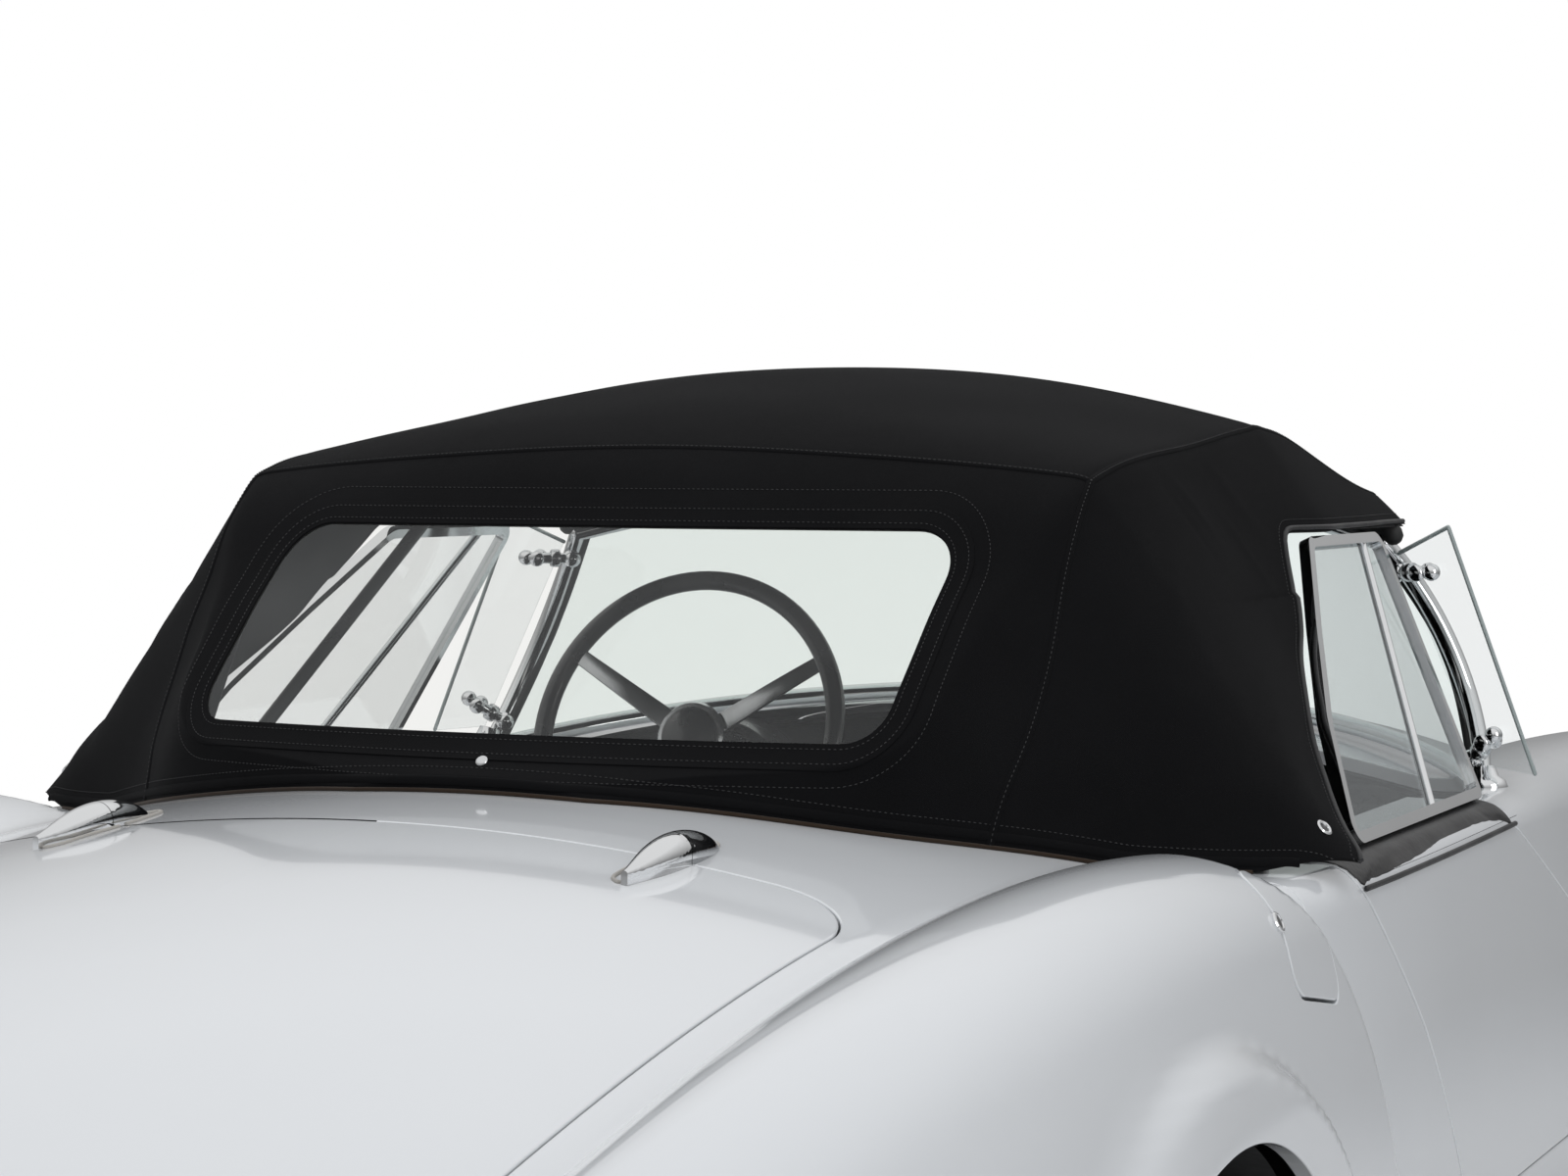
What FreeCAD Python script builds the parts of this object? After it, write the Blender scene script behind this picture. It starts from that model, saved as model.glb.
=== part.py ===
import FreeCAD, Part
import math
import os

import Sketcher
from collections import namedtuple
from FreeCAD import Placement, Rotation, Vector

# Two-seat roadster with its soft top up. Millimetres; +X right, +Y forward, +Z up.
# The origin lies on the ground below the middle of the car.

SIZES = {
    # layout
    "wheelbase": 2450,
    "rear_overhang": 990,
    "front_overhang": 760,
    "body_width": 1560,
    "front_track": 1280,
    "rear_track": 1300,
    "bumper_reach": 55,
    # walls and gaps
    "skin": 20,
    "door_wall": 66,
    "lid_wall": 16,
    "canvas": 9,
    "glass": 5,
    "plate": 12,
    "shut_gap": 7,
    "seat_gap": 0.3,
    # wheels
    "tyre_radius": 329,
    "tyre_width": 165,
    "rim_radius": 203,
    "rim_width": 116,
    "flange_height": 9,
    "drum_radius": 135,
    "drum_depth": 52,
    "arch_radius": 376,
    "arch_flare": 80,
    "tub_inner": 366,
    "kingpin_offset": 120,
    "hub_set": 20,
    "cap_radius": 108,
    "beam_top": 285,
    "pillar_radius": 14,
    "pillar_length": 330,
    # openings
    "door_top": 836,
    "cockpit_half": 652,
    "cockpit_corner": 170,
    "bonnet_half": 425,
    "bonnet_length": 1165,
    "boot_half": 470,
    "boot_length": 868,
    "boot_hinge_half": 288,
    "flap_length": 140,
    "flap_height": 122,
    "flap_tilt": 8,
    # windscreen
    "screen_foot_half": 652,
    "screen_foot_y": -1080,
    "screen_foot_z": 858,
    "screen_head_half": 530,
    "screen_head_z": 1140,
    "screen_tube": 11,
    # soft top
    "roof_height": 1338,
    "rail_height": 1162,
    # cockpit
    "underside": 190,
    "cushion_width": 490,
    "cushion_depth": 480,
    "cushion_height": 190,
    "seat_spacing": 700,
    "seat_place": 640,
    "back_height": 440,
    "back_depth": 120,
    "back_lean": 14,
    "seat_round": 30,
    "wheel_rim_radius": 200,
    "wheel_rim_tube": 12,
    "wheel_x": -320,
    "wheel_height": 895,
    "wheel_rake": 20,
    "column_radius": 19,
    "dash_front_y": -1010,
    # running gear
    "engine_width": 420,
    "engine_length": 600,
    "engine_height": 430,
    "shaft_radius": 32,
    "axle_tube": 28,
    "pipe_radius": 22,
    "muffler_radius": 55,
    # lamps and bars
    "headlamp_radius": 92,
    "tail_lamp_radius": 38,
    "grille_half": 235,
    "grille_height": 215,
    "bar_count": 13,
    "bumper_start": 170,
    "bumper_section": 46,
    # jacking sockets
    "jack_radius": 14,
    "jack_depth": 40,
}

doc = FreeCAD.newDocument("Roadster")
sheet = doc.addObject("Spreadsheet::Sheet", "Sizes")
for row, (alias, value) in enumerate(SIZES.items(), start=1):
    sheet.set(f"A{row}", alias)
    sheet.set(f"B{row}", str(value))
    sheet.setAlias(f"B{row}", alias)
doc.recompute()


def size(alias):
    """A driving dimension as the sheet holds it."""
    return float(sheet.get(alias))


# Places along the car that follow from the driving dimensions
HALF = size("body_width") / 2
REAR_Y = (size("rear_overhang") - size("wheelbase") - size("front_overhang")) / 2
FRONT_Y = REAR_Y + size("wheelbase")
TAIL_Y = REAR_Y - size("rear_overhang") + size("bumper_reach")
NOSE_Y = FRONT_Y + size("front_overhang") - size("bumper_reach")
AXLE_Z = size("tyre_radius")
PLACE = {"tail": TAIL_Y, "rear": REAR_Y, "front": FRONT_Y, "nose": NOSE_Y}
REAR_FORMULA = "((Sizes.rear_overhang - Sizes.wheelbase - Sizes.front_overhang) / 2)"
FRONT_FORMULA = "((Sizes.rear_overhang + Sizes.wheelbase - Sizes.front_overhang) / 2)"

nodes = {}


# Small geometry helpers

def arc_about(centre, start, end):
    """The shorter arc between two points about a centre."""
    radius = (start - centre).Length
    middle = (start - centre) + (end - centre)
    middle.normalize()
    return Part.Arc(start, centre + middle * radius, end).toShape()


def line(start, end):
    return Part.LineSegment(start, end).toShape()


def bend(start, tangent_z, end):
    """An arc that leaves start level and ends at end, or a line where the two are level."""
    drop = tangent_z - end.z
    run = abs(end.x - start.x)
    if abs(drop) < 0.05:
        return line(start, end)
    radius = (run * run + drop * drop) / (2 * drop)
    return arc_about(Vector(start.x, start.y, start.z - radius), start, end)


def rounded(corners, z=0.0):
    """A closed wire in the XY plane from corners (x, y, radius)."""
    count = len(corners)
    edges = []
    ends = []
    for index in range(count):
        x, y, radius = corners[index]
        here = Vector(x, y, z)
        before = Vector(corners[index - 1][0], corners[index - 1][1], z)
        after = Vector(corners[(index + 1) % count][0], corners[(index + 1) % count][1], z)
        to_before = (before - here).normalize()
        to_after = (after - here).normalize()
        if radius <= 0:
            ends.append((here, here, None))
            continue
        half = to_before.getAngle(to_after) / 2
        reach = radius / math.tan(half)
        inward = (to_before + to_after).normalize()
        centre = here + inward * (radius / math.sin(half))
        ends.append((here + to_before * reach, here + to_after * reach, centre - inward * radius))
    for index in range(count):
        enter, leave, middle = ends[index]
        if middle is not None:
            edges.append(Part.Arc(enter, middle, leave).toShape())
        following = ends[(index + 1) % count][0]
        if (following - leave).Length > 0.001:
            edges.append(line(leave, following))
    return Part.Wire(Part.__sortEdges__(edges))


def grown(wire, amount):
    """The wire offset outwards by amount, inwards where it is negative."""
    return wire.makeOffset2D(amount)


def prism(wire, direction):
    return Part.Face(wire).extrude(direction)


def plan_prism(wire, low, high):
    """A prism of a plan outline between two heights."""
    moved = wire.copy()
    moved.translate(Vector(0, 0, low))
    return prism(moved, Vector(0, 0, high - low))


def placed(shape, placement):
    """The shape moved by a placement."""
    moved = shape.copy()
    moved.Placement = placement.multiply(shape.Placement)
    return moved


SIDEWAYS = Placement(Vector(0, 0, 0), Rotation(Vector(1, 1, 1), 120))


def side_prism(wire, x0, x1):
    """A prism across the car of an outline drawn in (y, z)."""
    return placed(plan_prism(wire, x0, x1), SIDEWAYS)


def mirrored(shape):
    return shape.mirror(Vector(0, 0, 0), Vector(1, 0, 0))


def box(x0, x1, y0, y1, z0, z1):
    return Part.makeBox(x1 - x0, y1 - y0, z1 - z0, Vector(x0, y0, z0))


def rod(start, end, radius):
    return Part.makeCylinder(radius, (end - start).Length, start, end - start)


def pipe(edges, radius):
    """A round tube along a path of lines and arcs."""
    path = Part.Wire(edges)
    first = path.OrderedEdges[0]
    start = first.valueAt(first.FirstParameter)
    tangent = first.tangentAt(first.FirstParameter)
    ring = Part.Wire(Part.Circle(start, tangent, radius).toShape())
    return path.makePipeShell([ring], True, False)


def bent_path(points, share=0.4):
    """Straight runs through points joined by tangent arcs."""
    edges = []
    last = points[0]
    for index in range(1, len(points) - 1):
        here = points[index]
        back = (points[index - 1] - here)
        ahead = (points[index + 1] - here)
        reach = share * min(back.Length, ahead.Length)
        back.normalize()
        ahead.normalize()
        enter = here + back * reach
        leave = here + ahead * reach
        half = back.getAngle(ahead) / 2
        inward = (back + ahead).normalize()
        radius = reach * math.tan(half)
        middle = here + inward * (reach / math.cos(half) - radius)
        edges.append(line(last, enter))
        edges.append(Part.Arc(enter, middle, leave).toShape())
        last = leave
    edges.append(line(last, points[-1]))
    return edges


def keep(label, shape):
    """A sub-part whose shape Part's own functions have made."""
    item = doc.addObject("Part::Feature", label)
    item.Label = label
    item.Shape = shape
    nodes[label] = item
    return item


# The hull: sections along the car, from the tail to the nose.
# Each row: place, dy, low (underside), foot (inset of its edge), side (inset of the widest point),
# waist (its height), roll (shoulder radius), crown_in and crown_z (shoulder top),
# valley_in and valley_z (foot of the shoulder on the inner side), middle (height on the centreline)

Station = namedtuple("Station", "place dy low foot side waist roll crown_in crown_z valley_in valley_z middle")
UNDER = size("underside")
HULL = [
    Station("tail", 0, 345, 450, 300, 440, 26, 360, 512, 450, 522, 535),
    Station("tail", 25, 300, 320, 190, 450, 40, 290, 590, 360, 604, 622),
    Station("tail", 105, 262, 250, 140, 465, 50, 250, 664, 310, 682, 708),
    Station("tail", 305, 232, 205, 110, 480, 55, 240, 730, 295, 750, 792),
    Station("rear", -350, 212, 185, 100, 490, 55, 235, 790, 290, 812, 868),
    Station("rear", 0, 198, 165, 85, 500, 55, 230, 842, 285, 862, 921),
    Station("rear", 330, UNDER, 105, 50, 500, 45, 130, 860, 240, 868, 934),
    Station("rear", 560, UNDER, 80, 24, 500, 40, 96, 860, 220, 864, 930),
    Station("rear", 900, UNDER, 75, 20, 500, 42, 92, 860, 215, 862, 924),
    Station("front", -1060, UNDER, 72, 20, 500, 48, 104, 862, 210, 862, 930),
    Station("front", -780, UNDER, 72, 18, 500, 80, 140, 868, 240, 858, 928),
    Station("front", -400, UNDER, 85, 12, 500, 115, 168, 866, 320, 826, 906),
    Station("front", 0, UNDER, 120, 8, 500, 130, 176, 850, 350, 786, 872),
    Station("front", 300, 200, 150, 12, 500, 130, 184, 820, 362, 748, 832),
    Station("front", 510, 225, 210, 42, 494, 120, 206, 768, 380, 702, 784),
    Station("nose", -85, 262, 300, 110, 486, 95, 252, 694, 410, 652, 720),
    Station("nose", -22, 310, 400, 200, 478, 70, 330, 618, 470, 592, 644),
    Station("nose", 0, 360, 520, 330, 470, 35, 395, 540, 500, 534, 560),
]


def inner_roll(row, inset):
    """Radius of the shoulder at an inset, and how far its crown then moves inwards."""
    shift = max(0.0, inset - (row.roll - 8.0))
    return row.roll - inset + shift, shift


def station_y(row, inset=0.0):
    y = PLACE[row.place] + row.dy
    return min(max(y, TAIL_Y + inset), NOSE_Y - inset)


def hull_section(row, inset):
    """Closed section: floor, bilge, side, shoulder and crown, the same on both sides."""
    y = station_y(row, inset)
    edges = []
    side_x = HALF - row.side - inset
    roll, shift = inner_roll(row, inset)
    crown = Vector(HALF - row.crown_in - shift, y, row.crown_z - inset)
    foot = Vector(HALF - row.foot - inset, y, row.low + inset)
    waist = Vector(side_x, y, row.waist)
    valley = Vector(HALF - row.valley_in - inset / 2, y, row.valley_z - inset)
    across = side_x - crown.x
    rise = crown.z - roll - row.waist
    side_radius = (across ** 2 + rise ** 2 - roll ** 2) / (2 * (across - roll))
    side_centre = Vector(side_x - side_radius, y, row.waist)
    roll_centre = Vector(crown.x, y, crown.z - roll)
    shoulder = side_centre + (roll_centre - side_centre) * (side_radius / (side_radius - roll))
    inward = waist.x - foot.x
    bilge_radius = (inward ** 2 + (waist.z - foot.z) ** 2) / (2 * inward)
    bilge_centre = Vector(side_x - bilge_radius, y, row.waist)
    right = [
        arc_about(bilge_centre, foot, waist),
        arc_about(side_centre, waist, shoulder),
        arc_about(roll_centre, shoulder, crown),
        bend(crown, crown.z, valley),
    ]
    left = [mirrored(edge) for edge in reversed(right)]
    opposite = Vector(-foot.x, foot.y, foot.z)
    deck = Part.Arc(valley, Vector(0, y, row.middle - inset), Vector(-valley.x, y, valley.z)).toShape()
    edges = [line(opposite, foot)] + right + [deck] + left
    return Part.Wire(edges)


def hull(inset):
    rows = [row for row in HULL if TAIL_Y + inset < PLACE[row.place] + row.dy < NOSE_Y - inset]
    rows = [HULL[0]] + rows[0 if rows[0] is not HULL[0] else 1:]
    rows = rows[:None if rows[-1] is not HULL[-1] else -1] + [HULL[-1]]
    return Part.makeLoft([hull_section(row, inset) for row in rows], True, False)


def hull_middle(inset):
    """The hull between the axles, where the doors are."""
    rows = [row for row in HULL if REAR_Y <= PLACE[row.place] + row.dy <= FRONT_Y]
    return Part.makeLoft([hull_section(row, inset) for row in rows], True, False)


# The rear haunch: a pontoon that stands proud of the door side.
# Each row: place, dy, inner_in and inner_z (foot on the deck), crown_in, crown_z, roll,
# side (inset), waist, low_in and low_z (lower edge)

Pontoon = namedtuple("Pontoon", "place dy inner_in inner_z crown_in crown_z roll side waist low_in low_z")
HAUNCH = [
    Pontoon("tail", 12, 350, 560, 250, 612, 62, 165, 455, 240, 350),
    Pontoon("tail", 50, 315, 634, 226, 690, 86, 106, 475, 190, 300),
    Pontoon("tail", 125, 300, 690, 205, 752, 102, 62, 490, 150, 262),
    Pontoon("tail", 305, 285, 752, 186, 816, 112, 24, 505, 110, 232),
    Pontoon("rear", -380, 280, 806, 170, 868, 116, 8, 515, 92, 212),
    Pontoon("rear", -80, 272, 846, 158, 900, 114, 6, 520, 86, 200),
    Pontoon("rear", 180, 262, 858, 150, 902, 108, 6, 520, 84, 192),
    Pontoon("rear", 430, 250, 846, 146, 880, 100, 6, 520, 84, 190),
    Pontoon("rear", 690, 236, 820, 150, 840, 90, 8, 520, 84, 190),
]


def haunch_section(row, inset):
    y = PLACE[row.place] + row.dy + (inset if row.place == "tail" else 0.0)
    roll, shift = inner_roll(row, inset)
    crown = Vector(HALF - row.crown_in - shift, y, row.crown_z - inset)
    inner_top = Vector(HALF - row.inner_in, y, row.inner_z - inset)
    waist = Vector(HALF - row.side - inset, y, row.waist)
    low = Vector(HALF - row.low_in - inset, y, row.low_z + inset)
    inner_low = Vector(HALF - row.inner_in, y, row.low_z + inset)
    across = waist.x - crown.x
    rise = crown.z - roll - row.waist
    side_radius = (across ** 2 + rise ** 2 - roll ** 2) / (2 * (across - roll))
    side_centre = Vector(waist.x - side_radius, y, row.waist)
    roll_centre = Vector(crown.x, y, crown.z - roll)
    shoulder = side_centre + (roll_centre - side_centre) * (side_radius / (side_radius - roll))
    inward = waist.x - low.x
    bilge_radius = (inward ** 2 + (waist.z - low.z) ** 2) / (2 * inward)
    bilge_centre = Vector(waist.x - bilge_radius, y, row.waist)
    return Part.Wire([
        line(inner_low, low),
        arc_about(bilge_centre, low, waist),
        arc_about(side_centre, waist, shoulder),
        arc_about(roll_centre, shoulder, crown),
        bend(crown, crown.z, inner_top),
        line(inner_top, inner_low),
    ])


def haunch_front(inset):
    """What lies ahead of the haunch's leading edge, which rises and sweeps back over the shoulder."""
    foot = REAR_Y + 555 - inset
    top = REAR_Y + 240 - inset
    edge = [
        line(Vector(0, foot, 0), Vector(0, foot, 500 - inset)),
        Part.Arc(Vector(0, foot, 500 - inset), Vector(0, foot - 77, 755 - inset),
                 Vector(0, top, 912 - inset)).toShape(),
        line(Vector(0, top, 912 - inset), Vector(0, top, 1100)),
        line(Vector(0, top, 1100), Vector(0, foot + 600, 1100)),
        line(Vector(0, foot + 600, 1100), Vector(0, foot + 600, 0)),
        line(Vector(0, foot + 600, 0), Vector(0, foot, 0)),
    ]
    return prism(Part.Wire(edge), Vector(HALF + 100, 0, 0))


def haunch(inset):
    loft = Part.makeLoft([haunch_section(row, inset) for row in HAUNCH], True, False)
    return loft.cut(haunch_front(inset))


def arch_flare(axle_y):
    """The raised lip around a wheel arch."""
    inner = size("arch_radius")
    outer = inner + size("arch_flare")
    face = HALF
    deep = HALF - 130
    profile = Part.Wire([
        line(Vector(deep, axle_y, AXLE_Z + inner), Vector(face - 4, axle_y, AXLE_Z + inner)),
        Part.Arc(Vector(face - 4, axle_y, AXLE_Z + inner), Vector(face - 3, axle_y, AXLE_Z + inner + 30),
                 Vector(face - 46, axle_y, AXLE_Z + outer)).toShape(),
        line(Vector(face - 46, axle_y, AXLE_Z + outer), Vector(deep, axle_y, AXLE_Z + outer - 10)),
        line(Vector(deep, axle_y, AXLE_Z + outer - 10), Vector(deep, axle_y, AXLE_Z + inner)),
    ])
    ring = Part.Face(profile).revolve(Vector(0, axle_y, AXLE_Z), Vector(1, 0, 0), 360)
    return ring.common(box(0, HALF, axle_y - outer, axle_y + outer, AXLE_Z - 40, AXLE_Z + outer))


def wheel_tub(axle_y):
    """The closed box inside a wheel arch."""
    radius = size("arch_radius")
    inner = size("tub_inner")
    axis = Vector(1, 0, 0)
    shell = Part.makeCylinder(radius + 10, HALF - inner + 10, Vector(inner - 10, axle_y, AXLE_Z), axis)
    return shell.common(box(0, HALF - 30, axle_y - 500, axle_y + 500, 215, 1000))


def wheel_space(axle_y):
    radius = size("arch_radius")
    inner = size("tub_inner")
    return Part.makeCylinder(radius, HALF, Vector(inner, axle_y, AXLE_Z), Vector(1, 0, 0))


def both(shape):
    return [shape, mirrored(shape)]


def lamp_pod():
    """The round front end of a fender, which holds the headlamp."""
    radius = size("headlamp_radius") + 16
    centre = Vector(HALF - 212, NOSE_Y - 360, 640)
    return Part.makeCylinder(radius, 268, centre, Vector(0, 1, 0))


HEADLAMP = Vector(HALF - 212, NOSE_Y - 92, 640)


# Outlines of doors and lids, each along the middle of its shut gap

DOOR_BACK_TOP = REAR_Y + 560
DOOR_FRONT_Y = FRONT_Y - 940
door_outline = rounded([
    (DOOR_BACK_TOP, 1000, 0),
    (DOOR_BACK_TOP, 846, 0),
    (REAR_Y + 700, 690, 150),
    (REAR_Y + 845, 478, 60),
    (DOOR_FRONT_Y, 468, 70),
    (DOOR_FRONT_Y, 690, 110),
    (FRONT_Y - 1120, 778, 160),
    (FRONT_Y - 1245, 838, 0),
    (FRONT_Y - 1245, 1000, 0),
])

COCKPIT_BACK = REAR_Y + 480
COCKPIT_FRONT = FRONT_Y - 1010
cockpit_outline = rounded([
    (size("cockpit_half"), COCKPIT_BACK, size("cockpit_corner")),
    (size("cockpit_half"), COCKPIT_FRONT, 40),
    (-size("cockpit_half"), COCKPIT_FRONT, 40),
    (-size("cockpit_half"), COCKPIT_BACK, size("cockpit_corner")),
])

BONNET_BACK_Y = FRONT_Y - 640
bonnet_outline = rounded([
    (size("bonnet_half"), BONNET_BACK_Y, 50),
    (size("bonnet_half") - 60, BONNET_BACK_Y + size("bonnet_length"), 190),
    (60 - size("bonnet_half"), BONNET_BACK_Y + size("bonnet_length"), 190),
    (-size("bonnet_half"), BONNET_BACK_Y, 50),
])

BOOT_HINGE_Y = REAR_Y
BOOT_HINGE_Z = 931
boot_outline = rounded([
    (size("boot_half"), BOOT_HINGE_Y + size("shut_gap") / 2, 90),
    (-size("boot_half"), BOOT_HINGE_Y + size("shut_gap") / 2, 90),
    (-size("boot_half") + 25, BOOT_HINGE_Y - size("boot_length"), 150),
    (size("boot_half") - 25, BOOT_HINGE_Y - size("boot_length"), 150),
])

# The fuel flap lies on the right haunch, square to a normal that leans 42 degrees up
FLAP_LEAN = 42.0
FLAP_CENTRE = Vector(HALF - 53, REAR_Y + 344, 834)
flap_turn = Rotation(Vector(0, 1, 0), 90 - FLAP_LEAN).multiply(Rotation(Vector(0, 0, 1), -size("flap_tilt")))
FLAP_CORNER = 24


def flap_prism(amount, low, high):
    half_length = size("flap_length") / 2 + amount
    half_height = size("flap_height") / 2 + amount
    outline = rounded([
        (half_height, half_length, FLAP_CORNER),
        (-half_height, half_length, FLAP_CORNER),
        (-half_height, -half_length, FLAP_CORNER),
        (half_height, -half_length, FLAP_CORNER),
    ])
    return placed(plan_prism(outline, low, high), Placement(FLAP_CENTRE, flap_turn))


# Body shell, worked out on the right-hand side and mirrored

GAP = size("shut_gap") / 2
skin = size("skin")
SPLIT_FRONT = FRONT_Y - 1245
SPLIT_REAR = REAR_Y + 900


def largest(shape):
    """The biggest solid of a shape, without the crumbs that a cut leaves."""
    return max(shape.Solids, key=lambda solid: solid.Volume)


full = hull(0)
right_room = box(0, 1000, -3000, 3000, 0, 1500)
outer = full.common(right_room)
outer = outer.fuse(haunch(0))
outer = outer.fuse(lamp_pod())
for axle_y in (REAR_Y, FRONT_Y):
    outer = outer.fuse(arch_flare(axle_y))
hollow = hull(skin).fuse(haunch(skin))
shell = outer.cut(hollow)
for axle_y in (REAR_Y, FRONT_Y):
    shell = shell.fuse(wheel_tub(axle_y).common(outer))
    shell = shell.cut(wheel_space(axle_y))

FIREWALL_Y = FRONT_Y - 740
BULKHEAD_Y = REAR_Y + 400
BEAM_HALF = 32


def tunnel_bar(half, y_start, y_end, low):
    """A bar along the car with an arched top, the outside or the hollow of the tunnel."""
    arch = Part.makeCylinder(half, y_end - y_start, Vector(0, y_start, 330), Vector(0, 1, 0))
    return box(-half, half, y_start, y_end, low, 330).fuse(arch)


tunnel_hollow = tunnel_bar(83, BULKHEAD_Y - 60, FIREWALL_Y + 60, 100)
door_room = side_prism(grown(door_outline, GAP), HALF - 150, HALF + 50)
grille_hole = rounded([
    (size("grille_half"), 345, 60),
    (size("grille_half") - 40, 345 + size("grille_height"), 70),
    (40 - size("grille_half"), 345 + size("grille_height"), 70),
    (-size("grille_half"), 345, 60),
])
UPRIGHT = Rotation(Vector(1, 0, 0), 90)
grille_room = placed(plan_prism(grille_hole, 0, 400), Placement(Vector(0, NOSE_Y + 50, 0), UPRIGHT))
cuts = [
    door_room,
    tunnel_hollow,
    plan_prism(cockpit_outline, 700, 1100),
    plan_prism(grown(bonnet_outline, GAP), 480, 1100),
    plan_prism(grown(boot_outline, GAP), 520, 1100),
    grille_room,
    box(-HALF + 450, HALF - 450, FRONT_Y - 600, FRONT_Y + 420, 150, 260),
    box(-HALF + 400, HALF - 400, REAR_Y - 360, REAR_Y + 230, 150, 260),
    Part.makeCylinder(size("headlamp_radius"), 400, HEADLAMP - Vector(0, 252, 0), Vector(0, 1, 0)),
    Part.makeCylinder(size("headlamp_radius") + 14, 200, HEADLAMP, Vector(0, 1, 0)),
    box(300, size("tub_inner") + 8, FRONT_Y - BEAM_HALF - size("seat_gap"), FRONT_Y + BEAM_HALF + size("seat_gap"),
        size("beam_top") - 55 - size("seat_gap"), size("beam_top") + size("seat_gap")),
    box(300, size("tub_inner") + 8, REAR_Y - 225, REAR_Y + 30, AXLE_Z - 55, AXLE_Z + 45),
]
for cut in cuts:
    shell = shell.cut(cut)

# Each door's hinge: three knuckles in the shut gap, flush with the skin, on one pin

DOOR_PIN_X = HALF - 22.5
KNUCKLE = GAP - 0.2
PIN = 1.5
PIN_PLAY = 0.05
HINGE_LOW = 543
HINGE_STEP = 25


def hinge_knuckle(low, toward):
    """A knuckle and its tongue; toward is +1 on the body, ahead of the pin, and -1 on the door."""
    height = HINGE_STEP - size("seat_gap")
    barrel = Part.makeCylinder(KNUCKLE, height, Vector(DOOR_PIN_X, DOOR_FRONT_Y, low))
    y_near = DOOR_FRONT_Y + toward * 2
    y_far = DOOR_FRONT_Y + toward * 12
    tongue = box(DOOR_PIN_X - 8, DOOR_PIN_X, min(y_near, y_far), max(y_near, y_far), low, low + height)
    return barrel.fuse(tongue)


door_pin = Part.makeCylinder(PIN, 3 * HINGE_STEP - size("seat_gap"), Vector(DOOR_PIN_X, DOOR_FRONT_Y, HINGE_LOW))
body_knuckles = hinge_knuckle(HINGE_LOW, 1).multiFuse([hinge_knuckle(HINGE_LOW + 2 * HINGE_STEP, 1), door_pin])
door_knuckle = hinge_knuckle(HINGE_LOW + HINGE_STEP, -1).cut(
    Part.makeCylinder(PIN + PIN_PLAY, 3 * HINGE_STEP, Vector(DOOR_PIN_X, DOOR_FRONT_Y, HINGE_LOW)))
shell = shell.fuse(body_knuckles)

front_half = shell.common(box(-1000, 1000, SPLIT_FRONT, 3000, 0, 1500))
rear_half = shell.common(box(-1000, 1000, -3000, SPLIT_REAR, 0, 1500))
middle_half = shell.common(box(-1000, 1000, SPLIT_REAR, SPLIT_FRONT, 0, 1500))
front_body = largest(front_half.fuse(mirrored(front_half)))
flap_side = rear_half.cut(flap_prism(GAP, -45, 80))
rear_body = largest(flap_side.fuse(mirrored(rear_half)))
middle_part = middle_half.fuse(mirrored(middle_half))
keep("body_front", front_body)
keep("body_rear", rear_body)

# The steering column's line, from the hub of its wheel down to the steering box

rake = math.radians(size("wheel_rake"))
hub = Vector(size("wheel_x"), FRONT_Y + size("dash_front_y") - 165, size("wheel_height"))
down = Vector(0, math.cos(rake), -math.sin(rake))
BOSS_DEPTH = 44
COLUMN_END = 520


def column_rod(clearance):
    top = hub + down * (BOSS_DEPTH + size("seat_gap"))
    return rod(top, hub + down * COLUMN_END, size("column_radius") + clearance)


# Floor pan: sills, tunnel and jacking sockets; bulkheads ahead of and behind the cockpit

seat_gap = size("seat_gap")
plate = size("plate")
inside = hull(skin + seat_gap)
firewall = box(-700, 700, FIREWALL_Y, FIREWALL_Y + plate, 0, 1000).common(inside).cut(column_rod(seat_gap))
bulkhead = box(-560, 560, BULKHEAD_Y - plate, BULKHEAD_Y, 0, 1000).common(inside)

floor_level = UNDER + skin
tunnel = tunnel_bar(95, BULKHEAD_Y + seat_gap, FIREWALL_Y - seat_gap, floor_level + seat_gap)
keep("firewall", largest(firewall.cut(tunnel_hollow)))
keep("rear_bulkhead", largest(bulkhead.cut(tunnel_hollow)))

jack_radius = size("jack_radius")
JACK_X = HALF - 150
JACK_Y = (SPLIT_REAR + SPLIT_FRONT) / 2
pan = middle_part.multiFuse([tunnel, tunnel_bar(95, SPLIT_REAR, SPLIT_FRONT, UNDER)]).cut(tunnel_hollow)
boss = Part.makeCylinder(jack_radius + 12, size("jack_depth") + 20, Vector(JACK_X, JACK_Y, UNDER + 1))
well = Part.makeCylinder(jack_radius, size("jack_depth") + 1, Vector(JACK_X, JACK_Y, UNDER - 1))
pan = pan.multiFuse(both(boss)).cut(well).cut(mirrored(well))
keep("floor_pan", largest(pan))

# Doors

door_skin = hull_middle(0)
inner_door = hull_middle(size("door_wall"))
door_space = side_prism(grown(door_outline, -GAP), HALF - 130, HALF + 50)
door_slab = door_skin.common(door_space).cut(inner_door)
door = largest(door_slab.common(box(0, 1000, -2000, 2000, 0, size("door_top"))).fuse(door_knuckle))
keep("door_right", door)
keep("door_left", mirrored(door))
ROLL_RISE = 4
pad = hull_middle(-ROLL_RISE).common(door_space)
pad = largest(pad.cut(box(0, 1000, -2000, 2000, 0, size("door_top") + seat_gap)))
keep("door_roll_right", pad)
keep("door_roll_left", mirrored(pad))

# Lids

lid_skin = full.cut(hull(size("lid_wall")))
bonnet_skin = largest(lid_skin.common(plan_prism(grown(bonnet_outline, -GAP), 480, 1100)))

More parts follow.
